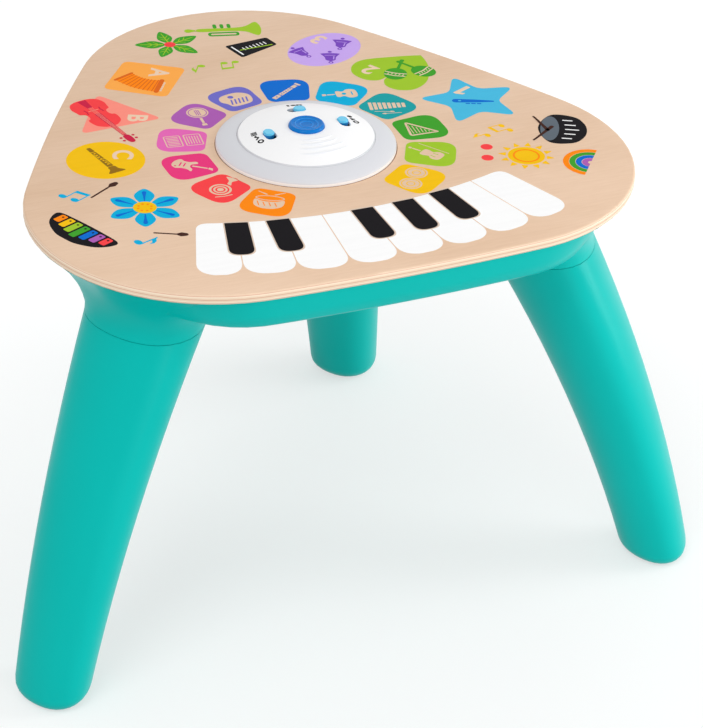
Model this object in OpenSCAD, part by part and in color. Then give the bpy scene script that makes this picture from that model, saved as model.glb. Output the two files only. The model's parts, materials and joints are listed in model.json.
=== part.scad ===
// Musical activity table for toddlers: a plywood top in the outline of a rounded triangle
// with a light-up hub, carried by a moulded frame on three curved legs.
// Origin: centre of the footprint on the floor, +Z up, keyboard side towards -Y.

/* [Table] */
// Height of the wooden top's upper face above the floor
table_h = 340; // [330:1:356]
// Distance from the table's centre to the centre of each rounded corner
corner_d = 111.6; // [109:0.2:116]
// Radius of the rounded corners of the top
corner_r = 135.5; // [133:0.5:140]
// Radius of the long, slightly bowed sides of the top
side_r = 1800; // [1500:50:3000]
// Thickness of the plywood top
top_t = 8; // [7:0.5:10]
// Rounding of the top's edges
top_round = 2; // [1:0.25:3]

/* [Frame] */
// Height of the moulded apron below the top
apron_h = 25; // [24:0.5:30]
// How far the apron stands back from the edge of the top
apron_inset = 1.5; // [1:0.25:4]
// How far the apron's lower edge draws in
apron_draw = 8; // [6:0.5:10]
// Thickness of the frame's rim at the lower edge
rim_w = 3; // [2.5:0.25:4]
// Thickness of the frame's floor
floor_t = 2.5; // [2:0.25:3.5]
// Wall of the leg sockets
socket_wall = 3; // [2.5:0.25:4]
// How much further the apron stands back at the front corners, behind the flared sockets
corner_in = 12; // [8:1:14]
// How much more the apron's lower edge draws in at the front corners
corner_draw = 10; // [6:1:12]
// How far a socket may flare outwards at the top
flare_max = 75; // [66:1:84]
// How far the flared sockets stand back from the edge of the top
flare_inset = 1; // [0.5:0.25:1.5]

/* [Legs] */
// Distance from the centre to the middle of each front foot
front_foot_r = 294.7; // [285:1:300]
// Distance from the centre to the middle of each front leg where it enters the top
front_top_r = 151.4; // [148:1:156]
// Rear foot, sideways from the centre line
rear_foot_x = 128; // [122:1:134]
// Rear foot, behind the table's centre
rear_foot_y = 196; // [190:1:200]
// How far the rear leg leans out from socket to foot
rear_lean = 100; // [90:1:110]
// Direction in which the rear leg leans
rear_lean_angle = 50; // [44:1:56]
// Mean radius of a leg at the foot
leg_foot_r = 27.8; // [26:0.2:29]
// Mean radius of a leg where it meets its socket
leg_top_r = 44; // [42:0.5:46]
// How far the joint between leg and socket lies below the upper face of the top
seam_drop = 63; // [58:1:70]
// Wall thickness of a leg
leg_wall = 3; // [2.5:0.25:4]
// Rounding at the bottom of a leg
leg_round = 12; // [9:0.5:14]
// Length of a leg's neck inside its socket
neck_len = 24; // [20:1:25]
// Radius of the rubber pad under each leg
pad_r = 13; // [10:0.5:15]
// Thickness of the rubber pad
pad_t = 3; // [2.5:0.5:5]

/* [Hub] */
// Outer radius of the light ring
ring_r = 68; // [66:0.5:72]
// Width of the grey ring between its edge and the dome
ring_band = 16; // [15:0.5:18]
// Height of the button's top above the wooden top
hub_h = 18.4; // [17.6:0.2:20]
// Wall thickness of ring, dome and cup
hub_wall = 2; // [1.6:0.2:2.4]
// How far the hole in the wooden top lies inside the ring's edge
hub_hole_in = 18; // [15:0.5:19]
// Depth of the hub's cup below the upper face of the top
cup_depth = 20; // [18:0.5:21]
// Radius of the mode button
button_r = 13.5; // [12.5:0.25:14.5]
// Travel of the mode button
button_travel = 1.5; // [1:0.1:1.8]
// Distance of the slide knobs from the centre
knob_ring_r = 30; // [29:0.5:32]
// Travel of a slide knob from its first to its third position
knob_travel = 4.4; // [3:0.2:5]
// Width of a slide knob
knob_w = 8; // [7:0.5:9]
// Length of a slide knob
knob_l = 9.5; // [9:0.5:11]

/* [Underside] */
// Radius of the opening in the frame's floor
bay_r = 92; // [90:0.5:94]
// How far the bay sits in front of the table's centre
bay_shift = 25; // [22:0.5:28]
// Depth of the bottom cover below the frame
cover_depth = 14; // [13:0.5:18]
// Wall thickness of the bottom cover
cover_wall = 3; // [2.75:0.25:3.5]
// Diameter of a battery cell
cell_d = 14.5; // [14:0.1:15]
// Length of a battery cell
cell_l = 50.5; // [49.5:0.1:51]
// Outer radius of the loudspeaker
speaker_r = 25; // [23:0.5:27]
// Height of the loudspeaker
speaker_h = 16; // [14:0.5:17]

/* [Fits] */
// Gap round parts that slide
slide_gap = 0.3; // [0.2:0.05:0.5]
// Open seam between the shoulder of a leg and its socket
seam_gap = 0.4; // [0.2:0.1:1]
// Gap between the neck of a leg and its socket
neck_gap = 0.25; // [0.2:0.05:0.5]
// Gap round parts that are set in place
seat_gap = 0.2; // [0.1:0.05:0.4]
// Gap round screw shanks
screw_gap = 0.05; // [0.02:0.01:0.1]

/* [Hidden] */
$fn = 96;

teal = [0.13, 0.72, 0.66];
steel = [0.75, 0.76, 0.78];
circuit = [0.10, 0.40, 0.25];

// ---- Outline of the top: three corner arcs joined by three long side arcs ----
outline_n = 120;
side_e = sqrt(pow(side_r - corner_r, 2) - 0.75 * corner_d * corner_d) - corner_d / 2;

// Distance from the centre to the outline, drawn in by inset, in direction a
function edge_r(a, inset) =
    let (s = abs((a + 510) % 120 - 60), big = side_r - inset, small = corner_r - inset,
         reach = side_r - corner_r,
         tangent = [big * (corner_d / 2 + side_e) / reach - side_e, big * corner_d * sqrt(0.75) / reach])
    s < atan2(tangent.y, tangent.x)
        ? sqrt(big * big - pow(side_e * sin(s), 2)) - side_e * cos(s)
        : corner_d * cos(60 - s) + sqrt(small * small - pow(corner_d * sin(60 - s), 2));

function outline(inset) =
    [for (i = [0 : outline_n - 1]) let (a = i * 360 / outline_n) edge_r(a, inset) * [cos(a), sin(a)]];

function outline_ring(inset, z) = [for (p = outline(inset)) [p.x, p.y, z]];

// The footprint is centred on the origin, so the table's centre lies a little in front of it
table_y = (edge_r(-90, 0) - edge_r(90, 0)) / 2;

// ---- Heights ----
top_under = table_h - top_t;
seam_z = table_h - seam_drop;
floor_z = top_under - apron_h;
floor_top = floor_z + floor_t;
bay_z = floor_z - cover_depth;
bay_floor = bay_z + cover_wall;
cup_z = table_h - cup_depth;
cup_floor = cup_z + hub_wall;
led_z = table_h + hub_wall;
led_board_t = 1.2;
board_t = 1.6;

// ---- Hub radii that follow the ring ----
dome_r = ring_r - ring_band;
hub_hole_r = ring_r - hub_hole_in;

// ---- Legs ----
leg_n = 32;
lobe = 0.05;
leg_oval = 0.035;
bend = [0.624, 0.42];
front_angles = [-150, -30];

function curve(u) = bend[0] * u + bend[1] * u * u;
function swell(u) = 0.83 * u + 0.17 * u * u;
// Foot position, top position and outward direction of leg i: left, right, rear
leg_foot = [front_foot_r * [cos(front_angles[0]), sin(front_angles[0])],
            front_foot_r * [cos(front_angles[1]), sin(front_angles[1])],
            [rear_foot_x, rear_foot_y]];
leg_head = [front_top_r * [cos(front_angles[0]), sin(front_angles[0])],
            front_top_r * [cos(front_angles[1]), sin(front_angles[1])],
            leg_foot[2] - rear_lean * [cos(rear_lean_angle), sin(rear_lean_angle)]];
leg_turn = [-150, -30, 90];

function leg_axis(i, z) = leg_foot[i] + (leg_head[i] - leg_foot[i]) * curve(z / table_h) / curve(0.97);
// Mean radius of the leg's skin at height z, drawn in towards the rounded bottom
function leg_radius(z) =
    leg_foot_r + (leg_top_r - leg_foot_r) * swell(z / seam_z)
    - (z < leg_round ? leg_round - sqrt(leg_round * leg_round - pow(leg_round - z, 2)) : 0);

// One ring of a leg: rounded triangle with a flat outer side, grown by g
function leg_ring(i, z, g) =
    let (c = leg_axis(i, z), r = leg_radius(z) + g, t = leg_turn[i])
    [for (k = [0 : leg_n - 1])
        let (p = k * 360 / leg_n, l = 1 - lobe * cos(3 * p),
             x = r * (1 - leg_oval) * l * cos(p), y = r * (1 + leg_oval) * l * sin(p))
        [c.x + x * cos(t) - y * sin(t), c.y + x * sin(t) + y * cos(t), z]];

// Closed solid through a stack of rings that all have the same number of points
module loft(rings) {
    n = len(rings[0]);
    last = len(rings) - 1;
    sides = [for (r = [0 : last - 1]) for (k = [0 : n - 1])
        let (a = r * n + k, b = r * n + (k + 1) % n)
        each [[a, b + n, b], [a, a + n, b + n]]];
    caps = [[for (k = [0 : n - 1]) k], [for (k = [n - 1 : -1 : 0]) last * n + k]];
    polyhedron(points = [for (r = rings) each r], faces = concat(sides, caps), convexity = 6);
}

// ---- Shared helpers ----
module at_table() { translate([0, table_y, 0]) children(); }

module at_bay() { at_table() translate([0, -bay_shift, 0]) children(); }

module tube(outer, inner, z0, z1) {
    translate([0, 0, z0]) difference() {
        cylinder(r = outer, h = z1 - z0);
        translate([0, 0, -1]) cylinder(r = inner, h = z1 - z0 + 2);
    }
}

// Block centred on x and y, standing on z
module block(size, pos) { translate([pos.x - size.x / 2, pos.y - size.y / 2, pos.z]) cube(size); }

module rounded_block(size, r, pos) {
    translate(pos) linear_extrude(size.z) union() {
        square([size.x - 2 * r, size.y], center = true);
        square([size.x, size.y - 2 * r], center = true);
        for (x = [-1, 1], y = [-1, 1])
            translate([x * (size.x / 2 - r), y * (size.y / 2 - r)]) circle(r = r, $fn = 32);
    }
}

// Oval with straight sides, l long over the round ends
module oval(l, w, h) {
    linear_extrude(h) union() {
        square([w, l - w], center = true);
        for (y = [-1, 1]) translate([0, y * (l - w) / 2]) circle(d = w, $fn = 48);
    }
}

// Pan-head screw with its head seat at the origin and its shank along +Z
module screw(head_r, head_h, shank_r, shank_l, drive_w) {
    difference() {
        union() {
            translate([0, 0, -head_h]) cylinder(r = head_r, h = head_h, $fn = 48);
            cylinder(r = shank_r, h = shank_l, $fn = 32);
        }
        for (a = [0, 90]) rotate([0, 0, a]) block([drive_w, drive_w / 3, 1.2], [0, 0, -head_h - 0.2]);
    }
}

// ---- Fasteners: places ----
top_screw_angles = [-112, -68, 10, 85, 130, 170];
top_screw_in = 17;
boss_r = 5;
wood_screw_r = 1.75;
wood_screw_bite = 6;
pilot_spare = 0.4;
wood_head_r = 3.75;
head_seat = 3;
function top_screw_at(a) = edge_r(a, top_screw_in) * [cos(a), sin(a)];

cover_rim = 10;
cover_flange_t = 2.5;
cover_screw_n = 6;
cover_screw_r = 1.5;
cover_screw_l = 12;
cover_head_r = 3.2;
cover_screw_ring = bay_r + cover_rim / 2 + 0.5;
cover_boss_h = 12;
small_head_h = 2.2;

// ---- Wooden top ----
// Corner of a quarter round at step k of 3: how far in from the edge, how far from the face
function round_step(k) = top_round * [1 - sin(30 * k), 1 - cos(30 * k)];

module board_blank() {
    loft(concat([for (k = [0 : 3]) outline_ring(round_step(k)[0], top_under + round_step(k)[1])],
                [for (k = [3 : -1 : 0]) outline_ring(round_step(k)[0], table_h - round_step(k)[1])]));
}

module wooden_top() {
    color("BurlyWood") at_table() difference() {
        board_blank();
        translate([0, 0, top_under - 1]) cylinder(r = hub_hole_r, h = top_t + 2);
        for (a = top_screw_angles) translate(concat(top_screw_at(a), top_under - 1))
            cylinder(r = wood_screw_r + screw_gap, h = wood_screw_bite + 1 + pilot_spare, $fn = 32);
    }
}

// ---- Touch sensor sheet, glued to the underside of the top ----
sheet_t = 0.8;
sheet_in = 30;

module touch_sensor_sheet() {
    color([0.85, 0.6, 0.3]) at_table() translate([0, 0, top_under - sheet_t]) linear_extrude(sheet_t)
        difference() {
            polygon(outline(sheet_in));
            circle(r = hub_hole_r + 5);
        }
}

// ---- Frame shell ----
collar_rings = 12;
collar_foot = seam_z + seam_gap;
flare_power = 1.65;
flare_focus = 1.3;
rear_flare_share = 0.4;

// Distance from c in direction d to the edge of the frame, found by halving between near and far
function reach(c, d, near, far, n = 12) =
    n == 0 ? near : let (m = (near + far) / 2, p = c + m * d)
        norm(p) < edge_r(atan2(p.y, p.x), flare_inset)
            ? reach(c, d, m, far, n - 1) : reach(c, d, near, m, n - 1);

// How far each point of socket i's ring flares at the top: most on its outer side, not at all inwards
function flare(i) =
    let (c = leg_axis(i, top_under), ring = leg_ring(i, top_under, 0))
    [for (k = [0 : leg_n - 1])
        let (v = [ring[k].x, ring[k].y] - c, r = norm(v),
             outward = pow((1 + cos(k * 360 / leg_n)) / 2, flare_focus),
             most = flare_max * (i == 2 ? rear_flare_share : 1) * outward)
        v / r * (reach(c, v / r, r, r + most) - r)];

// Socket's skin from the seam up to the top, curving outwards
module collar_solid(i) {
    spread = flare(i);
    loft([for (n = [0 : collar_rings])
        let (s = n / collar_rings, ring = leg_ring(i, collar_foot + (top_under - collar_foot) * s, 0))
        [for (k = [0 : leg_n - 1]) ring[k] + pow(s, flare_power) * [spread[k].x, spread[k].y, 0]]]);
}

// Heights at which the neck of a leg and its socket are both drawn
neck_top = seam_z + neck_len;
neck_levels = [seam_z - 4, seam_z + 6, seam_z + 14, neck_top];

// Space for the neck of a leg, open at the seam; the neck seats against its closed top
module socket_space(i) { loft([for (z = neck_levels) leg_ring(i, z, -socket_wall)]); }

// Profile of the apron: share of its height below the top, share of its draw inwards
apron_steps = [[0, 0], [0.55, 0.22], [0.88, 0.5], [0.97, 0.75], [1, 1]];

// Share of a front corner's form in direction a: 1 over the leg, 0 from corner_span degrees on
corner_span = 32;
function corner_share(a) = max([for (f = front_angles) let (s = abs((a - f + 540) % 360 - 180))
    s < corner_span ? (1 + cos(180 * s / corner_span)) / 2 : 0]);

// Ring of the apron at step s of its profile; at a corner it slopes evenly from top to bottom
function apron_ring(wall, s, z) =
    [for (i = [0 : outline_n - 1])
        let (a = i * 360 / outline_n, w = corner_share(a), drawn = s[1] * (1 - w) + s[0] * w,
             inset = apron_inset + wall + corner_in * w + drawn * (apron_draw + corner_draw * w))
        concat(edge_r(a, inset) * [cos(a), sin(a)], z)];

// Solid inside the apron's profile, drawn in by wall
module apron_solid(wall, top, bottom) {
    loft([for (n = [len(apron_steps) - 1 : -1 : 0]) let (s = apron_steps[n])
        apron_ring(wall, s, top - s[0] * (top - bottom))]);
}

// Side screw of each leg: level, through the inner wall of socket and neck
leg_screw_z = seam_z + 12;
leg_screw_r = 2.5;
leg_screw_l = 14.5;
leg_seat_out = 4.5;
leg_boss_h = 8;
leg_hole_spare = 3;
leg_head_r = 5;
leg_head_h = 3;
leg_boss_r = 7;
function screw_dir(i) = leg_turn[i] + 180;
function screw_seat(i) =
    let (r = leg_radius(leg_screw_z) * (1 - leg_oval) * (1 + lobe) + leg_seat_out)
    leg_axis(i, leg_screw_z) + r * [cos(screw_dir(i)), sin(screw_dir(i))];

// Turns a shape built along +Z from its seat into the leg, at the leg's side screw
module at_leg_screw(i) {
    translate(concat(screw_seat(i), leg_screw_z)) rotate([0, 0, leg_turn[i]]) rotate([0, 90, 0]) children();
}

module frame_shell() {
    color(teal) at_table() difference() {
        union() {
            difference() {
                union() {
                    apron_solid(0, top_under, floor_z);
                    for (i = [0 : 2]) collar_solid(i);
                }
                apron_solid(rim_w, top_under + 1, floor_top);
            }
            for (a = top_screw_angles) translate(concat(top_screw_at(a), floor_z + 0.5))
                cylinder(r = boss_r, h = apron_h - 0.5, $fn = 48);
            translate([0, -bay_shift, 0]) for (k = [0 : cover_screw_n - 1]) rotate(k * 360 / cover_screw_n)
                translate([cover_screw_ring, 0, floor_z]) cylinder(r = 4, h = cover_boss_h, $fn = 48);
            for (i = [0 : 2]) at_leg_screw(i) cylinder(r = leg_boss_r, h = leg_boss_h, $fn = 48);
        }
        for (i = [0 : 2]) socket_space(i);
        for (i = [0 : 2]) at_leg_screw(i) translate([0, 0, -1])
            cylinder(r = leg_screw_r + screw_gap, h = leg_boss_h + 1 + leg_hole_spare, $fn = 32);
        translate([0, -bay_shift, floor_z - 1]) cylinder(r = bay_r, h = floor_t + 2);
        for (a = top_screw_angles) translate(concat(top_screw_at(a), 0)) {
            translate([0, 0, floor_z - 1]) cylinder(r = wood_screw_r + screw_gap, h = apron_h + 2, $fn = 32);
            translate([0, 0, floor_z - 1]) cylinder(r = wood_head_r + seat_gap, h = head_seat + 1, $fn = 48);
        }
        translate([0, -bay_shift, 0]) for (k = [0 : cover_screw_n - 1]) rotate(k * 360 / cover_screw_n)
            translate([cover_screw_ring, 0, floor_z - 1])
                cylinder(r = cover_screw_r + screw_gap, h = cover_screw_l, $fn = 32);
    }
}

// ---- Legs ----
neck_wall = 3;
bottom_t = 4;

function skin_levels() = concat([1, 2, 3.5, 6, 9], [for (n = [0 : 12]) leg_round + (seam_z - leg_round) * n / 12]);

module leg(i) {
    neck_in = -socket_wall - neck_gap;
    hollow_z = pad_t + bottom_t;
    color(teal) at_table() difference() {
        union() {
            loft([for (z = skin_levels()) leg_ring(i, z, 0)]);
            loft([for (z = neck_levels) leg_ring(i, z, neck_in)]);
            intersection() {
                at_leg_screw(i) translate([0, 0, 3]) cylinder(r = leg_boss_r, h = leg_screw_l + 2, $fn = 48);
                loft([for (z = neck_levels) leg_ring(i, z, neck_in - 1)]);
            }
        }
        difference() {
            loft(concat([for (n = [0 : 8]) leg_ring(i, hollow_z + (seam_z - 12 - hollow_z) * n / 8, -leg_wall)],
                        [for (z = [seam_z - 4, seam_z + 8, neck_top + 1]) leg_ring(i, z, neck_in - neck_wall)]));
            at_leg_screw(i) translate([0, 0, 3]) cylinder(r = leg_boss_r, h = leg_screw_l + 2, $fn = 48);
        }
        at_leg_screw(i) translate([0, 0, -1]) cylinder(r = leg_screw_r + screw_gap, h = leg_screw_l + 1.5, $fn = 32);
        translate(concat(leg_foot[i], 0)) cylinder(r = pad_r + seat_gap, h = pad_t, $fn = 64);
    }
}

module leg_left() { leg(0); }
module leg_right() { leg(1); }
module leg_rear() { leg(2); }

module foot_pads() {
    color([0.2, 0.2, 0.2]) at_table() for (i = [0 : 2])
        translate(concat(leg_foot[i], 0)) cylinder(r = pad_r, h = pad_t, $fn = 64);
}

module leg_screws() {
    color(steel) at_table() for (i = [0 : 2]) at_leg_screw(i)
        screw(leg_head_r, leg_head_h, leg_screw_r, leg_screw_l, 5);
}

module top_screws() {
    color(steel) at_table() for (a = top_screw_angles)
        translate(concat(top_screw_at(a), floor_z + head_seat))
            screw(wood_head_r, 2.4, wood_screw_r, apron_h - head_seat + wood_screw_bite, 4);
}

// ---- Hub: light ring, dome and cup ----
ring_rim_h = 3.2;
ring_peak = 8.2;
dome_edge = 8.8;
dome_crown = 15.8;
dome_flat_r = button_r + 3;
cup_flange_r = ring_r - hub_wall - seat_gap;

module light_ring() {
    color([0.84, 0.85, 0.87]) at_table() translate([0, 0, table_h]) rotate_extrude() difference() {
        polygon([[dome_r + seat_gap, 0], [ring_r, 0], [ring_r, ring_rim_h - 1], [ring_r - 0.6, ring_rim_h],
                 [ring_r - 2, ring_rim_h + 0.9], [ring_r - 6, ring_rim_h + 2.4],
                 [ring_r - 10, ring_rim_h + 3.8], [dome_r + seat_gap, ring_peak]]);
        polygon([[dome_r + seat_gap - 1, -1], [ring_r - hub_wall, -1], [ring_r - hub_wall, ring_rim_h - 1],
                 [ring_r - 6, ring_rim_h + 0.6], [dome_r + seat_gap - 1, ring_peak - hub_wall - 0.6]]);
    }
}

// Height of the dome's surface above the wooden top at radius r
function dome_z(r) = let (q = max(0, r - dome_flat_r) / (dome_r - dome_flat_r))
    dome_crown - (dome_crown - dome_edge) * pow(q, 1.7);

knob_places = [[178.5, 1], [77.9, 1], [2.8, -1]];
// Angle of a slot's middle: half the travel on from the knob's first position
function slot_angle(k) = knob_places[k][0] + knob_places[k][1] * knob_travel / 2 / knob_ring_r * 180 / PI;

// Places a shape at slot k with +Y along the slot, towards the last position
module at_slot(k) {
    rotate(slot_angle(k)) translate([knob_ring_r, 0, 0])
        mirror([0, knob_places[k][1] > 0 ? 0 : 1, 0]) children();
}

module dome_cover() {
    steps = 14;
    radii = [for (n = [0 : steps]) dome_flat_r + (dome_r - 0.6 - dome_flat_r) * n / steps];
    color("white") at_table() difference() {
        union() {
            translate([0, 0, table_h]) rotate_extrude() polygon(concat(
                [[button_r + slide_gap, dome_crown], [button_r + slide_gap, dome_crown - 4]],
                [[dome_flat_r, dome_crown - 4], [dome_flat_r, dome_z(dome_flat_r) - hub_wall]],
                [for (n = [1 : steps]) [radii[n] - 1.4, dome_z(radii[n]) - hub_wall]],
                [[dome_r - 2, hub_wall], [dome_r, hub_wall], [dome_r, dome_edge - 0.6]],
                [for (n = [steps : -1 : 0]) [radii[n], dome_z(radii[n])]]));
            at_hub_posts() translate([0, 0, board_z + board_t])
                cylinder(r = 3, h = table_h + dome_z(dome_post_r) - 1 - board_z - board_t, $fn = 32);
        }
        for (k = [0 : 2]) at_slot(k) translate([0, 0, table_h + 5])
            oval(knob_l + knob_travel + 2 * slide_gap, knob_w + 2 * slide_gap, 20);
        at_hub_posts() translate([0, 0, board_z]) cylinder(r = hub_screw_r + screw_gap, h = 8, $fn = 32);
    }
}

board_z = cup_floor + 6;
dome_post_r = 41;
hub_screw_r = 1.25;

// Three posts of the hub, where its screws run up from the cup into the dome
module at_hub_posts() { for (k = [0 : 2]) rotate(60 + 120 * k) translate([dome_post_r, 0, 0]) children(); }

module hub_cup() {
    outer = hub_hole_r - seat_gap;
    color([0.92, 0.92, 0.93]) at_table() difference() {
        union() {
            tube(cup_flange_r, outer - hub_wall, table_h, led_z);
            tube(outer, outer - hub_wall, cup_z, led_z);
            translate([0, 0, cup_z]) cylinder(r = outer - 1, h = hub_wall);
            at_hub_posts() translate([0, 0, cup_z]) cylinder(r = 3.5, h = board_z - cup_z, $fn = 32);
        }
        block([30, 8, hub_wall + 2], [0, -link_y, cup_z - 1]);
        at_hub_posts() translate([0, 0, cup_z - 1])
            cylinder(r = hub_screw_r + screw_gap, h = board_z - cup_z + 2, $fn = 32);
    }
}

// Ring nut under the top that pulls the cup's flange down onto the wood
nut_h = 5;

module hub_nut_ring() {
    color([0.3, 0.3, 0.32]) at_table() tube(hub_hole_r + 4, hub_hole_r - seat_gap + screw_gap,
        top_under - nut_h, top_under);
}

led_count = 12;
led_ring_r = dome_r + 5;

module led_board() {
    color("white") at_table() tube(ring_r - hub_wall - 4, dome_r + 1, led_z, led_z + led_board_t);
}

module ring_leds() {
    color([1, 0.95, 0.6]) at_table() for (k = [0 : led_count - 1]) rotate(15 + k * 360 / led_count)
        block([3.5, 3.5, 0.8], [led_ring_r, 0, led_z + led_board_t]);
}

module control_board() {
    color(circuit) at_table() difference() {
        translate([0, 0, board_z]) cylinder(r = hub_hole_r - seat_gap - hub_wall - 1, h = board_t);
        at_hub_posts() translate([0, 0, board_z - 1])
            cylinder(r = hub_screw_r + screw_gap, h = board_t + 2, $fn = 32);
    }
}

module hub_screws() {
    color(steel) at_table() at_hub_posts() translate([0, 0, cup_z])
        screw(2.6, 1.8, hub_screw_r, board_z - cup_z + board_t + 5, 3);
}

switch_h = 5;
switch_w = 7;
switch_l = 13;

module slide_switches() {
    color(steel) at_table() for (k = [0 : 2]) at_slot(k) difference() {
        block([switch_w, switch_l, switch_h], [0, 0, board_z + board_t]);
        block([2.4, knob_travel + 4, 3], [0, 0, board_z + board_t + switch_h - 2]);
    }
}

// Slide knob at its first position: oval cap over a stem that enters the slide switch
module slide_knob(k) {
    cap_top = table_h + dome_z(knob_ring_r) + 1.6;
    skirt_z = table_h + 4;
    color([0.4, 0.8, 0.94]) at_table() at_slot(k) translate([0, -knob_travel / 2, 0]) {
        translate([0, 0, skirt_z]) oval(knob_l, knob_w, cap_top - skirt_z - 0.7);
        translate([0, 0, cap_top - 0.7]) oval(knob_l - 1.2, knob_w - 1.2, 0.7);
        block([1.8, 3, skirt_z - board_z - board_t - switch_h + 1.5],
              [0, 0, board_z + board_t + switch_h - 1.5]);
    }
}

module volume_knob() { slide_knob(0); }
module language_knob() { slide_knob(1); }
module level_knob() { slide_knob(2); }

// ---- Mode button ----
mode_switch_w = 8;
mode_switch_h = 4;
plunger_h = 1;
stem_r = 3;
spring_wire = 0.8;
spring_r = 6.5;
spring_turns = 4;
flange_t = 1.5;
flange_w = 1.8;
plunger_gap = 0.1;
flange_top = table_h + dome_crown - 4.1;
cap_under = flange_top - flange_t;

module mode_button() {
    top = table_h + hub_h;
    stem_end = board_z + board_t + mode_switch_h + plunger_h + button_travel + plunger_gap;
    color([0, 0.43, 0.82]) at_table() {
        rotate_extrude() polygon([[0, cap_under], [button_r + flange_w, cap_under],
            [button_r + flange_w, flange_top], [button_r, flange_top], [button_r, top - 1.6],
            [button_r - 0.5, top - 0.6], [button_r - 1.5, top], [button_r - 2.8, top - 0.4],
            [button_r - 7.5, top - 1.3], [0, top - 1.6]]);
        translate([0, 0, stem_end]) cylinder(r = stem_r, h = cap_under - stem_end + 0.5, $fn = 48);
    }
}

// Coil spring between the control board and the cap, as a swept wire
module button_spring() {
    z0 = board_z + board_t + spring_wire / 2;
    z1 = cap_under - spring_wire / 2;
    per_turn = 14;
    last = spring_turns * per_turn;
    color(steel) at_table() loft([for (n = [0 : last]) let (a = n * 360 / per_turn)
        [for (k = [0 : 5]) let (w = k * 60, r = spring_r + spring_wire / 2 * cos(w))
            [r * cos(a), r * sin(a), z0 + (z1 - z0) * n / last + spring_wire / 2 * sin(w)]]]);
}

module mode_switch() {
    color([0.15, 0.15, 0.15]) at_table() translate([0, 0, board_z + board_t]) {
        block([mode_switch_w, mode_switch_w, mode_switch_h], [0, 0, 0]);
        translate([0, 0, mode_switch_h - 0.5]) cylinder(r = 1.75, h = plunger_h + 0.5, $fn = 32);
    }
}

// ---- Bottom cover with its electronics, in the bay under the table's middle ----
cell_gap = 0.5;
box_wall = 1.5;
box_h = cell_d + 2.5;
box_l = cell_l + 9;
box_w = 3 * (cell_d + cell_gap) + cell_gap;
box_x = -38;
box_y = 8;
speaker_x = 42;
speaker_y = 8;
cover_r = bay_r - 1;
cover_slope = 7;
cover_step_h = 6;
grille_step = 5.6;
grille_hole_r = 1.6;
board_pilot_r = 1.1;
speaker_pilot_r = 1.25;
door_t = 1.8;
door_lip = 2.5;
ear_x = box_x + box_l / 2 + 7;
ear_w = 12;
door_screw_r = 1.5;
door_screw_l = 7;
main_z = bay_floor + speaker_h + 2.5;
main_w = 60;
main_l = 40;
main_y = main_l / 2 + 18 - bay_r;
link_y = 20;
post_r = 3.2;
post_places = [for (x = [-1, 1], y = [-1, 1]) [x * (main_w / 2 - 5), main_y + y * (main_l / 2 - 5)]];

module bottom_cover() {
    color([0.1, 0.62, 0.57]) at_bay() difference() {
        union() {
            difference() {
                union() {
                    translate([0, 0, bay_z])
                        cylinder(r1 = cover_r - cover_slope, r2 = cover_r, h = cover_slope);
                    translate([0, 0, bay_z + cover_slope]) cylinder(r = cover_r, h = cover_depth - cover_slope);
                    translate([0, 0, floor_z - cover_flange_t])
                        cylinder(r = bay_r + cover_rim, h = cover_flange_t);
                }
                translate([0, 0, bay_floor])
                    cylinder(r = cover_r - cover_slope - 1 - cover_wall, h = cover_depth);
                translate([0, 0, bay_floor + cover_step_h]) cylinder(r = cover_r - cover_wall, h = cover_depth);
            }
            for (p = post_places) translate([p.x, p.y, bay_z + 1])
                cylinder(r = post_r, h = main_z - bay_z - 1, $fn = 32);
            translate([ear_x, box_y, bay_z + 1]) cylinder(r = 4.5, h = door_screw_l + 1, $fn = 48);
        }
        block([box_l - 2 * box_wall, box_w, cover_wall + 2], [box_x, box_y, bay_z - 1]);
        translate([0, 0, bay_z - 1]) door_shape(slide_gap, 1 + door_t);
        translate([ear_x, box_y, bay_z]) cylinder(r = door_screw_r + screw_gap, h = door_screw_l, $fn = 32);
        at_speaker_ears() translate([0, 0, bay_floor - 2]) cylinder(r = speaker_pilot_r, h = 3, $fn = 24);
        for (x = [-3 : 3]) let (n = 3 - floor(abs(x) / 2)) for (y = [-n : n])
            translate([speaker_x + x * grille_step, speaker_y + y * grille_step, bay_z - 1])
                cylinder(r = grille_hole_r, h = cover_wall + 3, $fn = 24);
        for (p = post_places) translate([p.x, p.y, main_z - 8]) cylinder(r = board_pilot_r, h = 9, $fn = 24);
        for (k = [0 : cover_screw_n - 1]) rotate(k * 360 / cover_screw_n)
            translate([cover_screw_ring, 0, bay_z - 1])
                cylinder(r = cover_screw_r + screw_gap, h = cover_depth + 3, $fn = 32);
    }
}

module cover_screws() {
    color(steel) at_bay() for (k = [0 : cover_screw_n - 1]) rotate(k * 360 / cover_screw_n)
        translate([cover_screw_ring, 0, floor_z - cover_flange_t])
            screw(cover_head_r, small_head_h, cover_screw_r, cover_screw_l - 1, 3.4);
}

module battery_box() {
    h = box_h;
    color([0.2, 0.22, 0.24]) at_bay() difference() {
        block([box_l, box_w + 2 * box_wall, h], [box_x, box_y, bay_floor]);
        block([box_l - 2 * box_wall, box_w, h - box_wall + 1], [box_x, box_y, bay_floor - 1]);
    }
}

function cell_y(k) = box_y + (k - 1) * (cell_d + cell_gap);
cell_z = bay_z + door_t + cell_d / 2 + 0.1;

module battery_cells() {
    color([0.75, 0.6, 0.3]) at_bay() for (k = [0 : 2])
        translate([box_x, cell_y(k), cell_z]) mirror([k % 2, 0, 0]) rotate([0, 90, 0]) {
            translate([0, 0, -cell_l / 2]) cylinder(d = cell_d, h = cell_l - 1, $fn = 48);
            translate([0, 0, cell_l / 2 - 1]) cylinder(d = 5.5, h = 1, $fn = 32);
        }
}

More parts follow.
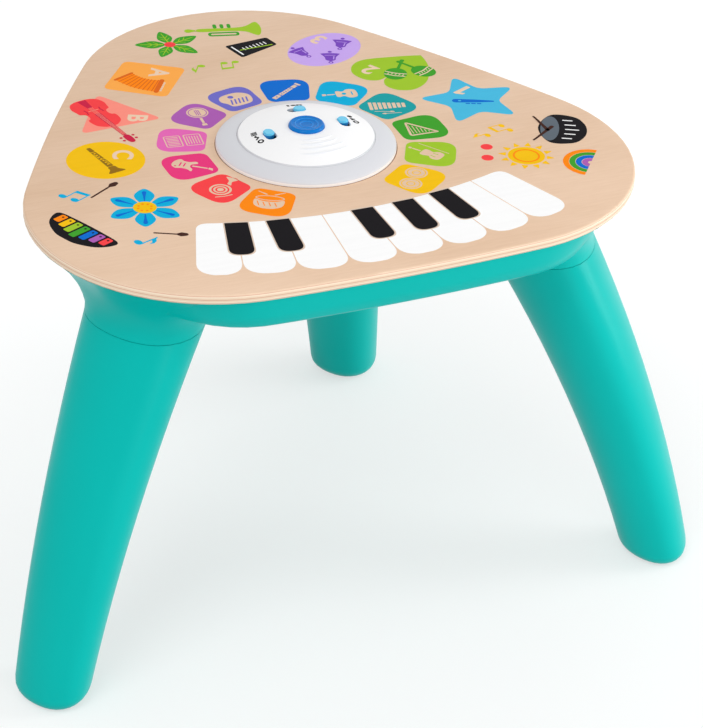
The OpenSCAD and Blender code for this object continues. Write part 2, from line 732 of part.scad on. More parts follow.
// Flat plate and conical spring tip at each end of each cell
module battery_contacts() {
    plate = 0.5;
    reach = (box_l - 2 * box_wall - cell_l) / 2;
    color(steel) at_bay() for (k = [0 : 2], s = [-1, 1]) translate([box_x, cell_y(k), 0]) {
        block([plate, cell_d - 2, cell_d - 2], [s * (box_l / 2 - box_wall - plate / 2), 0, bay_floor + 1.5]);
        translate([s * (box_l / 2 - box_wall - plate), 0, cell_z]) rotate([0, -90 * s, 0])
            cylinder(r1 = 4, r2 = 2.5, h = reach - plate, $fn = 32);
    }
}

// Outline of the battery door with its screw ear, grown by g
module door_shape(g, h) {
    rounded_block([box_l + 2 * door_lip + 2 * g, box_w + 2 * door_lip + 2 * g, h], 3.7 + g, [box_x, box_y, 0]);
    translate([ear_x, box_y, 0]) cylinder(d = ear_w + 2 * g, h = h, $fn = 48);
    block([ear_x - box_x, ear_w + 2 * g, h], [(ear_x + box_x) / 2, box_y, 0]);
}

module battery_door() {
    color([0.1, 0.62, 0.57]) at_bay() difference() {
        translate([0, 0, bay_z]) door_shape(0, door_t);
        for (k = [-3 : 3]) block([2, box_w - 20, 2], [box_x + k * 4, box_y, bay_z - 1.4]);
        translate([ear_x, box_y, bay_z - 1]) cylinder(r = door_screw_r + screw_gap, h = 4, $fn = 32);
    }
}

module door_screw() {
    color(steel) at_bay() translate([ear_x, box_y, bay_z]) screw(3, 1.8, door_screw_r, door_screw_l - 1, 3);
}

// ---- Loudspeaker over the grille ----
speaker_ear = 5;
ear_angles = [45, 165, 285];
ear_r = speaker_r + 2.5;
voice_r = 9;
magnet_seat_h = 9;

module at_speaker_ears() {
    translate([speaker_x, speaker_y, 0]) for (a = ear_angles) rotate(a) translate([ear_r + 1, 0, 0]) children();
}

module speaker_frame() {
    color([0.25, 0.26, 0.28]) at_bay() translate([speaker_x, speaker_y, bay_floor]) difference() {
        union() {
            rotate_extrude() polygon([[speaker_r - 3.5, 0], [speaker_r, 0], [speaker_r, 2.5],
                [speaker_r - 5, 4], [voice_r + 3, magnet_seat_h], [voice_r, magnet_seat_h],
                [voice_r, magnet_seat_h - 1.5], [speaker_r - 7, 3], [speaker_r - 3.5, 2]]);
            for (a = ear_angles) rotate(a) translate([ear_r, 0, 0]) cylinder(r = speaker_ear, h = 2, $fn = 48);
        }
        for (a = ear_angles) rotate(a) translate([ear_r + 1, 0, -1]) cylinder(r = 1.3, h = 4, $fn = 24);
        translate([0, 0, -1]) cylinder(r = speaker_r - 3.5, h = 2.5);
    }
}

module speaker_cone() {
    color([0.12, 0.12, 0.13]) at_bay() translate([speaker_x, speaker_y, bay_floor])
        rotate_extrude() polygon([[0, 3.6], [5, 3.2], [7.5, 5.6], [speaker_r - 8, 1.8],
            [speaker_r - 5.5, 2.2], [speaker_r - 4, 1.6], [speaker_r - 4, 1.2], [speaker_r - 5.5, 1.7],
            [speaker_r - 8, 1.2], [7.5, 4.8], [5, 2.6], [0, 3]]);
}

module speaker_magnet() {
    color(steel) at_bay() translate([speaker_x, speaker_y, bay_floor + magnet_seat_h]) {
        cylinder(r = 14, h = 1.5);
        translate([0, 0, 1.5]) cylinder(r = 13, h = speaker_h - 12);
        translate([0, 0, speaker_h - 10.5]) cylinder(r = 11.5, h = 1.5);
    }
}

module speaker_screws() {
    color(steel) at_bay() at_speaker_ears() translate([0, 0, bay_floor + 2]) mirror([0, 0, 1])
        screw(2.4, 1.6, 1.2, 3.6, 2.4);
}

// ---- Main board ----
module main_board() {
    color(circuit) at_bay() difference() {
        block([main_w, main_l, board_t], [0, main_y, main_z]);
        for (p = post_places) translate([p.x, p.y, main_z - 1]) cylinder(r = 1.3, h = board_t + 2, $fn = 24);
    }
}

module board_screws() {
    color(steel) at_bay() for (p = post_places) translate([p.x, p.y, main_z + board_t]) mirror([0, 0, 1])
        screw(2.2, 1.5, 1.05, board_t + 5, 2.2);
}

chip_places = [[-12, -3, 12, 12, 1.5], [12, 6, 9, 6, 1.4], [20, -6, 6, 8, 3], [-2, 4, 6, 5, 1.4],
               [-24, 3, 5, 9, 4], [4, -9, 7, 5, 1.4]];

module main_chips() {
    color([0.12, 0.12, 0.14]) at_bay() for (c = chip_places)
        block([c[2], c[3], c[4]], [c[0], main_y + c[1], main_z + board_t]);
}

// Flat ribbon that links the main board to the control board through the cup's slot
ribbon_w = 20;
ribbon_t = 0.8;

module board_link() {
    y_up = -link_y;
    y_main = main_y - bay_shift + main_l / 2 - 5;
    z_main = main_z + board_t;
    color([0.8, 0.8, 0.82]) at_table() {
        block([ribbon_w + 4, 4, 2.4], [0, y_main - 1, z_main]);
        translate([-ribbon_w / 2, y_main, z_main + ribbon_t])
            cube([ribbon_w, y_up - y_main + ribbon_t / 2, ribbon_t]);
        translate([-ribbon_w / 2, y_up - ribbon_t / 2, z_main + ribbon_t])
            cube([ribbon_w, ribbon_t, board_z - z_main - ribbon_t]);
    }
}

// ---- Internal leads, laid between the parts in the bay ----
lead_r = 0.8;
lead_pitch = 2.2;
lead_top = main_z + board_t + lead_r + 0.05;
lead_end_y = main_y + main_l / 2 - 3;
battery_lead_x = box_x + 20;
speaker_lead_x = speaker_x - speaker_r - 4.5;
box_top = bay_floor + box_h;

// Tube along points of falling y, with upright rings of eight sides
module lead(points) {
    loft([for (p = points) [for (k = [0 : 7])
        [p.x + lead_r * cos(45 * k), p.y, p.z + lead_r * sin(45 * k)]]]);
}

// Pair of leads side by side
module lead_pair(points) { for (k = [0, 1]) translate([k * lead_pitch, 0, 0]) lead(points); }

module battery_leads() {
    color([0.8, 0.1, 0.1]) at_bay() lead_pair([[battery_lead_x, box_y, box_top + lead_r],
        [battery_lead_x, box_y - 8, box_top + 1.2], [battery_lead_x + 1, box_y - 20, box_top + 1.6],
        [battery_lead_x + 2, lead_end_y + 13, lead_top], [battery_lead_x + 2, lead_end_y, lead_top]]);
}

module speaker_leads() {
    color([0.15, 0.15, 0.15]) at_bay() lead_pair([[speaker_lead_x, speaker_y + 4, bay_floor + 2 + lead_r],
        [speaker_lead_x, speaker_y - 8, bay_floor + 4], [speaker_lead_x, speaker_y - 18, bay_floor + 9],
        [speaker_lead_x + 0.5, speaker_y - 28, bay_floor + 15],
        [speaker_lead_x + 1, lead_end_y + 8, lead_top], [speaker_lead_x + 1, lead_end_y, lead_top]]);
}

wooden_top();
touch_sensor_sheet();
frame_shell();
bottom_cover();
leg_left();
leg_right();
leg_rear();
foot_pads();
leg_screws();
top_screws();
cover_screws();
light_ring();
dome_cover();
hub_cup();
hub_nut_ring();
led_board();
ring_leds();
control_board();
slide_switches();
volume_knob();
language_knob();
level_knob();
mode_button();
button_spring();
mode_switch();
hub_screws();
main_board();
main_chips();
board_screws();
board_link();
speaker_frame();
speaker_cone();
speaker_magnet();
speaker_screws();
battery_box();
battery_cells();
battery_contacts();
battery_door();
door_screw();
battery_leads();
speaker_leads();
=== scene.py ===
# %% [markdown]
# # Musical activity table
# A plywood top with printed toy instruments stands on three bowed plastic legs. A round control hub sits
# in the middle. The exact parts come from the CAD frame; this lesson gives them their finishes, smooths
# what a coarse mesh would facet, and prints the top. Prints and small details are drawn in millimetres,
# and the last step of each one brings it to metres.

# %% Load the frame
import json
from math import atan, atan2, cos, degrees, pi, radians, sin, sqrt

import bpy
from mathutils import Matrix, Vector

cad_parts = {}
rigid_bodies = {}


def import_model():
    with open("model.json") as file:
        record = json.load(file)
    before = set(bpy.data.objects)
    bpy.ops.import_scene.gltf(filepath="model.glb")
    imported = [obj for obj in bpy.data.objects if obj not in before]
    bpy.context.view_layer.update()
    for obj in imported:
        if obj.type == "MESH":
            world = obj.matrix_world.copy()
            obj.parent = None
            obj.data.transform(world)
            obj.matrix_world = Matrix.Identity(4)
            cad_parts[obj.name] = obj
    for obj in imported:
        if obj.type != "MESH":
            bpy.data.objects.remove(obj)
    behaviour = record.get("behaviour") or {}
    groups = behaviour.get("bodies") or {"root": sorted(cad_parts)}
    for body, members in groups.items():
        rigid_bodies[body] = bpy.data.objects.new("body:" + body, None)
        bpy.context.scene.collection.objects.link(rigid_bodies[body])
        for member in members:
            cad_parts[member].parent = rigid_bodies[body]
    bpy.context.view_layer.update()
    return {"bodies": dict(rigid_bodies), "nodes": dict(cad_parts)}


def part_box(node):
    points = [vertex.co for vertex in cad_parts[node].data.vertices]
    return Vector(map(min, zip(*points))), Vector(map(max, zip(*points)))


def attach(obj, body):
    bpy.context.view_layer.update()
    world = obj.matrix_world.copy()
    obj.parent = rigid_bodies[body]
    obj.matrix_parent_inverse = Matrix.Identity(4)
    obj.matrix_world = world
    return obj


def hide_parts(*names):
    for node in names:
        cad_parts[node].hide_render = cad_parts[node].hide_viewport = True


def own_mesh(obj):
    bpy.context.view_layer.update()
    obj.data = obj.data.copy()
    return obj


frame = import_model()
nodes = frame["nodes"]
MM = 0.001
ring_low, ring_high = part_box("light_ring")
hub_x = (ring_low.x + ring_high.x) / 2
hub_y = (ring_low.y + ring_high.y) / 2
top_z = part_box("wooden_top")[1].z / MM
print("CAD nodes:", len(nodes), "top face at", round(top_z, 2), "mm")

# %% [markdown]
# ## Camera
# The camera stands in front of the table, to its left, and looks down at it. Its three turns are applied
# in the order yaw, pitch, roll, so each number can be changed by itself.

# %% Camera
camera_place = (-0.689, -1.6365, 1.2519)
camera_yaw, camera_pitch, camera_roll = map(radians, (-24.4987, 32.2557, 2.27299))
camera_data = bpy.data.cameras.new("camera")
camera_data.sensor_fit = "VERTICAL"
camera_data.sensor_height = 36.0
camera_data.lens = 129.555
camera = bpy.data.objects.new("camera", camera_data)
bpy.context.scene.collection.objects.link(camera)
camera.matrix_world = (Matrix.Translation(camera_place) @ Matrix.Rotation(camera_yaw, 4, "Z")
                       @ Matrix.Rotation(pi / 2 - camera_pitch, 4, "X")
                       @ Matrix.Rotation(camera_roll, 4, "Z"))
bpy.context.scene.camera = camera
bpy.context.scene.view_settings.view_transform = "Standard"
print("camera at", camera_place)

# %% [markdown]
# ## Helpers for node trees
# A finish is a small tree of nodes. `put` adds a node, `join` feeds a socket from another one or gives it a
# plain value, and the rest are the few steps that most finishes share, so that each tree reads as a recipe.
# A socket knows the tree that it belongs to, so most steps need not be told.

# %% Node helpers
def put(tree, kind, values=(), **settings):
    """Adds a node, sets its attributes, and sets inputs by name or number."""
    node = tree.nodes.new(kind)
    for key, value in settings.items():
        setattr(node, key, value)
    for key, value in dict(values).items():
        node.inputs[key].default_value = value
    return node


def join(value, socket):
    """Feeds a socket from another socket, or gives it a plain value."""
    if isinstance(value, bpy.types.NodeSocket):
        socket.id_data.links.new(value, socket)
    else:
        socket.default_value = value


def owner(*values):
    """The node tree of the first socket among the values."""
    return next(value.id_data for value in values if isinstance(value, bpy.types.NodeSocket))


def new_group(name, inputs):
    """Starts a shared effect and gives its tree, inputs and outputs, and the place on the object."""
    tree = bpy.data.node_groups.new(name, "ShaderNodeTree")
    for label, value in inputs.items():
        kind = "NodeSocketFloat" if isinstance(value, float) else "NodeSocketColor"
        tree.interface.new_socket(label, in_out="INPUT", socket_type=kind).default_value = value
    for label, kind in (("Color", "Color"), ("Roughness", "Float"), ("Height", "Float")):
        tree.interface.new_socket(label, in_out="OUTPUT", socket_type="NodeSocket" + kind)
    return (tree, put(tree, "NodeGroupInput").outputs, put(tree, "NodeGroupOutput").inputs,
            put(tree, "ShaderNodeTexCoord").outputs["Object"])


def screen_colour(*levels):
    """A screen colour from 0 to 255 as the linear colour that shaders use."""
    shares = [level / 255 for level in levels]
    return (*(s / 12.92 if s <= 0.04045 else ((s + 0.055) / 1.055) ** 2.4 for s in shares), 1.0)


def noise_on(place, scale, detail, stretch=(1, 1, 1), roughness=0.5):
    """Noise on object coordinates, stretched along an axis where its scale is small."""
    mapping = put(owner(place), "ShaderNodeMapping", {"Scale": stretch})
    join(place, mapping.inputs["Vector"])
    noise = put(owner(place), "ShaderNodeTexNoise", {"Detail": detail, "Roughness": roughness})
    join(mapping.outputs["Vector"], noise.inputs["Vector"])
    join(scale, noise.inputs["Scale"])
    return noise.outputs["Fac"]


def ramp(value, low, high, out_low=0.0, out_high=1.0):
    """Brings a value from one range to another, without going past its ends."""
    node = put(owner(value), "ShaderNodeMapRange", {"From Min": low, "From Max": high,
                                                    "To Min": out_low, "To Max": out_high})
    join(value, node.inputs["Value"])
    return node.outputs["Result"]


signs = {"+": "ADD", "-": "SUBTRACT", "*": "MULTIPLY", "/": "DIVIDE"}


def maths(sign, first, second=0.0):
    """One step of arithmetic on sockets or plain numbers."""
    node = put(owner(first, second), "ShaderNodeMath", operation=signs.get(sign, sign))
    join(first, node.inputs[0])
    join(second, node.inputs[1])
    return node.outputs[0]


def mixed(share, first, second, blend="MIX"):
    """Two colours mixed by a share; each is a socket or a plain colour."""
    node = put(owner(share, first, second), "ShaderNodeMix", data_type="RGBA", blend_type=blend)
    for number, value in ((0, share), (6, first), (7, second)):
        join(value, node.inputs[number])
    return node.outputs[2]


def shaded(colour, level):
    """A colour made lighter or darker by a level round 1."""
    tint = put(owner(level), "ShaderNodeCombineColor")
    for channel in range(3):
        join(level, tint.inputs[channel])
    return mixed(1.0, colour, tint.outputs[0], "MULTIPLY")


def axes(vector):
    """The X, Y and Z of a vector."""
    split = put(owner(vector), "ShaderNodeSeparateXYZ")
    join(vector, split.inputs[0])
    return split.outputs


# %% [markdown]
# ## Shared effects
# Six effects give all finishes: plywood with its grain and glued layers, moulded plastic, printed ink,
# metal, circuit board and paper or film. Each is one group, and each material sets its own values on it.

# %% Plywood
ply_count = 3.0
wood, wood_in, wood_out, place = new_group("plywood grain", {
    "Pale": (0.75, 0.55, 0.4, 1), "Deep": (0.6, 0.4, 0.3, 1), "Edge": (0.8, 0.65, 0.5, 1),
    "Glue": (0.35, 0.16, 0.1, 1), "Underside": 0.332, "Thickness": 0.008})
broad = noise_on(place, 9, 4, (0.5, 1.4, 1))
streaks = noise_on(place, 520, 5, (0.1, 1, 1), 0.6)
pores = noise_on(place, 1500, 2, (0.05, 1, 1), 0.7)
face_mix = maths("+", maths("*", broad, 0.68), maths("*", streaks, 0.32))
face = mixed(ramp(face_mix, 0.34, 0.68), wood_in["Pale"], wood_in["Deep"])
face = mixed(ramp(pores, 0.6, 0.8, 0.0, 0.07), face, wood_in["Glue"])
height_share = maths("/", maths("-", axes(place)["Z"], wood_in["Underside"]),
                     wood_in["Thickness"])
wavy = maths("+", height_share, maths("*", maths("-", broad, 0.5), 0.06))
layer = maths("FRACT", maths("*", wavy, ply_count))
glue_line = ramp(maths("ABSOLUTE", maths("-", layer, 0.5)), 0.03, 0.09, 0.75, 0.0)
middle_ply = ramp(maths("ABSOLUTE", maths("-", wavy, 0.5)), 0.15, 0.19, 0.4, 0.0)
edge_tone = mixed(middle_ply, wood_in["Edge"], wood_in["Deep"])
edge_tone = mixed(glue_line, edge_tone, wood_in["Glue"])
normal = put(wood, "ShaderNodeNewGeometry").outputs["Normal"]
is_side = ramp(maths("ABSOLUTE", axes(normal)["Z"]), 0.45, 0.75, 1.0, 0.0)
join(mixed(is_side, face, edge_tone), wood_out["Color"])
join(ramp(streaks, 0.3, 0.7, 0.46, 0.58), wood_out["Roughness"])
join(maths("+", streaks, maths("*", pores, 0.5)), wood_out["Height"])

# %% Moulded plastic
plastic, plastic_in, plastic_out, place = new_group("moulded plastic", {
    "Colour": (0.5, 0.5, 0.5, 1), "Mottle": 0.05, "Gloss": 0.35, "Skin": 1600.0,
    "Painted Light Colour": (0.5, 0.5, 0.5, 1), "Painted Light Top": -1.0})
clouds = noise_on(place, 14, 3)
shade = maths("-", 1.0, maths("*", clouds, plastic_in["Mottle"]))
# Below a height the colour turns to a second one: a band of painted shade or painted highlight round a part's
# foot.
in_painted_light = maths("LESS_THAN", axes(place)["Z"], plastic_in["Painted Light Top"])
base = mixed(in_painted_light, plastic_in["Colour"], plastic_in["Painted Light Colour"])
rubbed = maths("*", maths("-", clouds, 0.5), 0.16)
join(shaded(base, shade), plastic_out["Color"])
join(maths("+", plastic_in["Gloss"], rubbed), plastic_out["Roughness"])
join(noise_on(place, plastic_in["Skin"], 2, roughness=0.6), plastic_out["Height"])

# %% Printed ink
ink, ink_in, ink_out, place = new_group("printed ink", {"Colour": (0.5, 0.5, 0.5, 1), "Grain": 0.08})
ink_streaks = noise_on(place, 210, 4, (0.045, 1, 1), 0.6)
speckle = noise_on(place, 2600, 2)
ink_shade = maths("+", 1.0, maths("*", maths("-", 0.5, ink_streaks), ink_in["Grain"]))
join(shaded(ink_in["Colour"], ink_shade), ink_out["Color"])
join(ramp(speckle, 0.3, 0.7, 0.38, 0.5), ink_out["Roughness"])
join(maths("+", ink_streaks, maths("*", speckle, 0.3)), ink_out["Height"])

# %% Metal
metal, metal_in, metal_out, place = new_group("plated metal", {"Colour": (0.6, 0.6, 0.6, 1), "Gloss": 0.3})
spangle = ramp(noise_on(place, 700, 3), 0.35, 0.65, 0.0, 0.25)
scratch = noise_on(place, 2200, 2, (0.1, 1, 1))
join(mixed(spangle, metal_in["Colour"], (0.25, 0.25, 0.26, 1)), metal_out["Color"])
join(maths("+", metal_in["Gloss"], maths("*", scratch, 0.15)), metal_out["Roughness"])
join(scratch, metal_out["Height"])

# %% Circuit board
circuit, circuit_in, circuit_out, place = new_group("circuit board", {
    "Mask": (0.02, 0.2, 0.08, 1), "Track": (0.06, 0.36, 0.14, 1)})
tracks = put(circuit, "ShaderNodeTexBrick", {"Scale": 260.0, "Mortar Size": 0.035, "Mortar Smooth": 0.1,
                                             "Brick Width": 0.9, "Row Height": 0.3})
pads = put(circuit, "ShaderNodeTexVoronoi", {"Scale": 420.0})
for texture in (tracks, pads):
    join(place, texture.inputs["Vector"])
track_mask = tracks.outputs["Fac"]
pad_mask = maths("LESS_THAN", pads.outputs["Distance"], 0.17)
laid = mixed(track_mask, circuit_in["Mask"], circuit_in["Track"])
join(mixed(pad_mask, laid, (0.62, 0.6, 0.52, 1)), circuit_out["Color"])
join(ramp(pad_mask, 0, 1, 0.4, 0.25), circuit_out["Roughness"])
join(maths("+", track_mask, pad_mask), circuit_out["Height"])

# %% Paper and film
fibre, fibre_in, fibre_out, place = new_group("paper and film", {
    "Colour": (0.1, 0.1, 0.1, 1), "Gloss": 0.7, "Size": 900.0})
fluff = noise_on(place, fibre_in["Size"], 4, roughness=0.7)
flecks = ramp(fluff, 0.35, 0.7, 0.0, 0.35)
join(mixed(flecks, fibre_in["Colour"], (0.3, 0.3, 0.3, 1)), fibre_out["Color"])
join(maths("+", fibre_in["Gloss"], maths("*", fluff, 0.1)), fibre_out["Roughness"])
join(fluff, fibre_out["Height"])
print("shared effects:", [group.name for group in bpy.data.node_groups])

# %% [markdown]
# ## Materials
# Each material places one shared effect and feeds it to its own Principled shader. A number that is the
# same all over is set on the shader itself, so that the export keeps it.

# %% Material maker
def finish(name, effect, values, bump=0.1, bump_mm=0.02, specular=0.5, metallic=0.0):
    """A material from a shared effect with its own values; colours are screen colours."""
    material = bpy.data.materials.new(name)
    material.use_nodes = True
    tree = material.node_tree
    shader = tree.nodes["Principled BSDF"]
    shader.inputs["Specular IOR Level"].default_value = specular
    shader.inputs["Metallic"].default_value = metallic
    values = {key: screen_colour(*v) if isinstance(v, tuple) else v for key, v in values.items()}
    part = put(tree, "ShaderNodeGroup", values, node_tree=effect)
    relief = put(tree, "ShaderNodeBump", {"Strength": bump, "Distance": bump_mm * MM})
    join(part.outputs["Height"], relief.inputs["Height"])
    join(part.outputs["Color"], shader.inputs["Base Color"])
    join(part.outputs["Roughness"], shader.inputs["Roughness"])
    join(relief.outputs["Normal"], shader.inputs["Normal"])
    material.diffuse_color = next((v for v in values.values() if isinstance(v, tuple)), (0.5, 0.5, 0.5, 1))
    return material


def moulded(name, colour, gloss=0.35, mottle=0.05, skin=1600.0, bump=0.08, band=(), specular=0.5):
    """A moulded plastic; band is a painted shade or painted highlight: its colour and the height below which
    it shows, in metres.
    """
    values = {"Colour": colour, "Gloss": gloss, "Mottle": mottle, "Skin": skin}
    if band:
        values["Painted Light Colour"], values["Painted Light Top"] = band
    return finish(name, plastic, values, bump, specular=specular)


def plated(name, colour, gloss, bump=0.1, metallic=1.0):
    """A bare or thinly wrapped metal."""
    return finish(name, metal, {"Colour": colour, "Gloss": gloss}, bump, 0.01, metallic=metallic)


# %% Finishes of the solid parts
# Heights of the painted bands: a painted highlight at the light ring's lower edge, and painted shade at the
# foot of the dome and of each knob.
highlight_band_mm, foot_gap_mm, knob_cap_mm = 2.3, 0.9, 1.5
ring_highlight_top, dome_shade_top = ring_low.z + highlight_band_mm * MM, ring_high.z + foot_gap_mm * MM
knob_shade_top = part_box("volume_knob")[1].z - knob_cap_mm * MM
board_low, board_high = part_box("wooden_top")
teal = moulded("teal_plastic", (0, 190, 182), 0.34, 0.06, specular=0.09)
zinc = plated("zinc_steel", (196, 200, 205), 0.28)
# The ripples are a little greyer than the dome: painted shade that marks them.
ripple_painted_shade = moulded("ripple_painted_shade", (240, 242, 246), 0.3, 0.015, specular=0.3)
# The circles in the button's dish are a lighter blue than the button: a painted highlight on their ridges.
ripple_blue_highlight = moulded("ripple_blue_highlight", (30, 142, 226), 0.25, 0.04, specular=0.25)
# Each row is a finish, the angle up to which its solids are shaded smooth, and the solids.
finishes = (
    (finish("plywood", wood, {
        "Pale": (236, 205, 178), "Deep": (222, 188, 158), "Edge": (250, 229, 204), "Glue": (196, 100, 60),
        "Underside": board_low.z, "Thickness": board_high.z - board_low.z}, 0.2, 0.03, specular=0.12), 30,
     "wooden_top"),
    (teal, 30, "frame_shell"),
    (teal, 35, "leg_left leg_right leg_rear"),
    # The light ring's lower edge is near white: a painted highlight.
    (moulded("grey_diffuser", (218, 219, 224), 0.38, 0.03, band=((252,) * 3, ring_highlight_top), specular=0.2),
     25, "light_ring"),
    # The dome is grey just above the light ring: painted shade round its foot.
    (moulded("white_plastic", (250, 250, 251), 0.3, 0.015, band=((208, 210, 215), dome_shade_top), specular=0.3),
     25, "dome_cover"),
    (moulded("blue_plastic", (0, 118, 203), 0.28, 0.06, specular=0.14), 35, "mode_button"),
    # Each knob is darker blue round its foot: painted shade.
    (moulded("cyan_plastic", (104, 206, 242), 0.22, band=((28, 132, 206), knob_shade_top)), 50,
     "volume_knob language_knob level_knob"),
    (zinc, 50, "button_spring"),
    (zinc, 0, "leg_screws top_screws cover_screws hub_screws board_screws speaker_screws door_screw"),
    (moulded("dark_plastic", (38, 40, 44), 0.45, 0.2), 0,
     "hub_cup hub_nut_ring slide_switches mode_switch main_chips speaker_frame battery_box"),
    (moulded("underside_plastic", (0, 158, 150), 0.5, 0.08, 900.0, 0.2, specular=0.15), 0,
     "bottom_cover battery_door"),
    (finish("circuit_board", circuit, {}, 0.2), 0, "led_board control_board main_board"),
    (finish("sensor_film", fibre, {"Colour": (198, 176, 120), "Gloss": 0.35, "Size": 300.0}, 0.05, 0.01), 0,
     "touch_sensor_sheet"),
    (finish("paper_cone", fibre, {"Colour": (44, 42, 42), "Gloss": 0.8, "Size": 1500.0}, 0.4, 0.03), 0,
     "speaker_cone"),
    (moulded("pad_rubber", (96, 100, 102), 0.8, 0.25, 1200.0, 0.4), 0, "foot_pads"),
    (moulded("led_lens", (250, 246, 214), 0.2, 0.02), 0, "ring_leds"),
    (plated("magnet_steel", (120, 122, 126), 0.4), 0, "speaker_magnet"),
    (plated("cell_wrap", (92, 98, 108), 0.3, 0.05, 0.6), 0, "battery_cells"),
    (plated("contact_metal", (206, 205, 198), 0.22, 0.08), 0, "battery_contacts"),
    (moulded("ribbon", (176, 180, 186), 0.45, 0.1), 0, "board_link"),
    (moulded("red_lead", (200, 36, 38), 0.4, 0.08), 0, "battery_leads"),
    (moulded("black_lead", (36, 36, 38), 0.45, 0.1), 0, "speaker_leads"))
print("materials:", len(bpy.data.materials))

# %% [markdown]
# ## Smooth skins
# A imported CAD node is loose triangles. Where a large curved face shows, a copy of the node is merged into
# one skin and shaded smooth across its shallow angles, while its true edges stay sharp.

# %% Pieces and their points
def only(piece):
    """Makes one piece the selected and active one."""
    bpy.ops.object.select_all(action="DESELECT")
    piece.select_set(True)
    bpy.context.view_layer.objects.active = piece


def new_piece(name, data):
    """A new object, linked, selected and active."""
    piece = bpy.data.objects.new(name, data)
    bpy.context.scene.collection.objects.link(piece)
    only(piece)
    return piece


def weld(threshold, outwards=False):
    """Merges the active piece's points that share a place, and can turn its faces outwards."""
    bpy.ops.object.mode_set(mode="EDIT")
    bpy.ops.mesh.select_all(action="SELECT")
    bpy.ops.mesh.remove_doubles(threshold=threshold)
    if outwards:
        bpy.ops.mesh.normals_make_consistent(inside=False)
    bpy.ops.object.mode_set(mode="OBJECT")


# %% Smooth copies
weld_mm = 0.002


def smooth_skin(node_name, angle, body):
    """A merged, smooth copy that stands for a CAD node."""
    skin = new_piece(node_name + "_skin", nodes[node_name].data.copy())
    if skin.data.has_custom_normals:
        bpy.ops.mesh.customdata_custom_splitnormals_clear()
    weld(weld_mm * MM)
    bpy.ops.object.shade_smooth_by_angle(angle=radians(angle))
    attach(skin, body)
    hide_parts(node_name)
    print(skin.name, len(skin.data.polygons), "faces")


# %% Each solid gets its finish
# An angle of 0 leaves a solid as it is.
finished = []
for material, angle, names in finishes:
    for node_name in names.split():
        nodes[node_name].data.materials.clear()
        nodes[node_name].data.materials.append(material)
        finished.append(node_name)
        if angle:
            body = node_name if node_name in frame["bodies"] else "table"
            smooth_skin(node_name, angle, body)
print("nodes with a finish:", len(finished), "without:", sorted(set(nodes) - set(finished)))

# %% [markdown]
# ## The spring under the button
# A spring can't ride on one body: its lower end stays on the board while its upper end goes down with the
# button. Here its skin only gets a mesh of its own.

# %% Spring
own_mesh(bpy.data.objects["button_spring_skin"])

# %% [markdown]
# ## Drawing tools for the prints
# The top is screen printed. Each print is drawn as closed outlines: an outline inside another is a hole,
# one inside that is ink again. A flat curve fills them, and it becomes a mesh before it is put in place,
# as a film of ink a few hundredths of a millimetre thick. Holes let the real wood show as the fine lines.

# %% Outlines
def turned(length, degrees):
    """How far along x and y a length at a bearing goes."""
    return length * cos(radians(degrees)), length * sin(radians(degrees))


def placed(outlines, x, y, turn=0.0, size=1.0):
    """Outlines turned, sized and moved to their place."""
    c, s = turned(size, turn)
    return [[(x + c * u - s * v, y + s * u + c * v) for u, v in outline] for outline in outlines]


def disc(x, y, radius, radius_y=None, turn=0.0, count=48):
    """A circle or an ellipse."""
    outline = [(radius * cos(a), (radius_y or radius) * sin(a))
               for a in (2 * pi * k / count for k in range(count))]
    return placed([outline], x, y, turn)[0]


def rounded(corners, rounding, steps=8):
    """A polygon whose corners are rounded; rounding is one length or one for each corner."""
    count = len(corners)
    lengths = rounding if isinstance(rounding, (list, tuple)) else [rounding] * count
    points = []
    for k in range(count):
        before, here, after = (Vector(corners[(k + d) % count]) for d in (-1, 0, 1))
        start = here + (before - here).normalized() * lengths[k]
        end = here + (after - here).normalized() * lengths[k]
        for n in range(steps + 1):
            t = n / steps
            p = start * (1 - t) ** 2 + here * 2 * t * (1 - t) + end * t ** 2
            points.append((p.x, p.y))
    return points


def block(left, low, right, high, rounding):
    """A box with rounded corners."""
    return rounded([(left, low), (right, low), (right, high), (left, high)], rounding)


def taper(half_low, low, half_high, high, rounding):
    """A box about the y axis that has its own half width at each end."""
    return rounded([(-half_low, low), (half_low, low), (half_high, high), (-half_high, high)], rounding)


def dot(x, y, radius):
    return disc(x, y, radius, count=16)


def rings(x, y, *radii):
    """Circles about one centre; every second ring between them is ink."""
    return [disc(x, y, radius) for radius in radii]


def arc(bearings, radius, radius_y=None, x=0.0, y=0.0):
    """Points on a circle or an ellipse at the bearings, in degrees."""
    return [(x + radius * cos(radians(a)), y + (radius_y or radius) * sin(radians(a)))
            for a in bearings]


def smooth(through, steps=6):
    """A smooth closed outline through the points."""
    count = len(through)
    points = []
    for k in range(count):
        a, b, c, d = (Vector(through[(k + n) % count]) for n in (-1, 0, 1, 2))
        for n in range(steps):
            t = n / steps
            p = 0.5 * (2 * b + (c - a) * t + (2 * a - 5 * b + 4 * c - d) * t ** 2
                       + (3 * b - a - 3 * c + d) * t ** 3)
            points.append((p.x, p.y))
    return points


cap_steps = 5


def stroke(points, widths):
    """A pen stroke along the points with round ends; widths is one width or one for each point."""
    count = len(points)
    half = [w / 2 for w in (widths if isinstance(widths, (list, tuple)) else [widths] * count)]
    line = [Vector(p) for p in points]
    normals = []
    for k in range(count):
        along = (line[min(k + 1, count - 1)] - line[max(k - 1, 0)]).normalized()
        normals.append(Vector((-along.y, along.x)))
    left = [p + n * h for p, n, h in zip(line, normals, half)]
    right = [p - n * h for p, n, h in zip(line, normals, half)]

    def end(k, sign):
        out = []
        for n in range(1, cap_steps):
            a = pi * n / cap_steps
            along = Vector((normals[k].y, -normals[k].x)) * sign
            out.append(line[k] + (normals[k] * sign * cos(a) + along * sin(a)) * half[k])
        return out
    return [(p.x, p.y) for p in left + end(count - 1, 1) + right[::-1] + end(0, -1)]


def dash(x, y, end_x, end_y, widths):
    """A straight pen stroke."""
    return stroke([(x, y), (end_x, end_y)], widths)


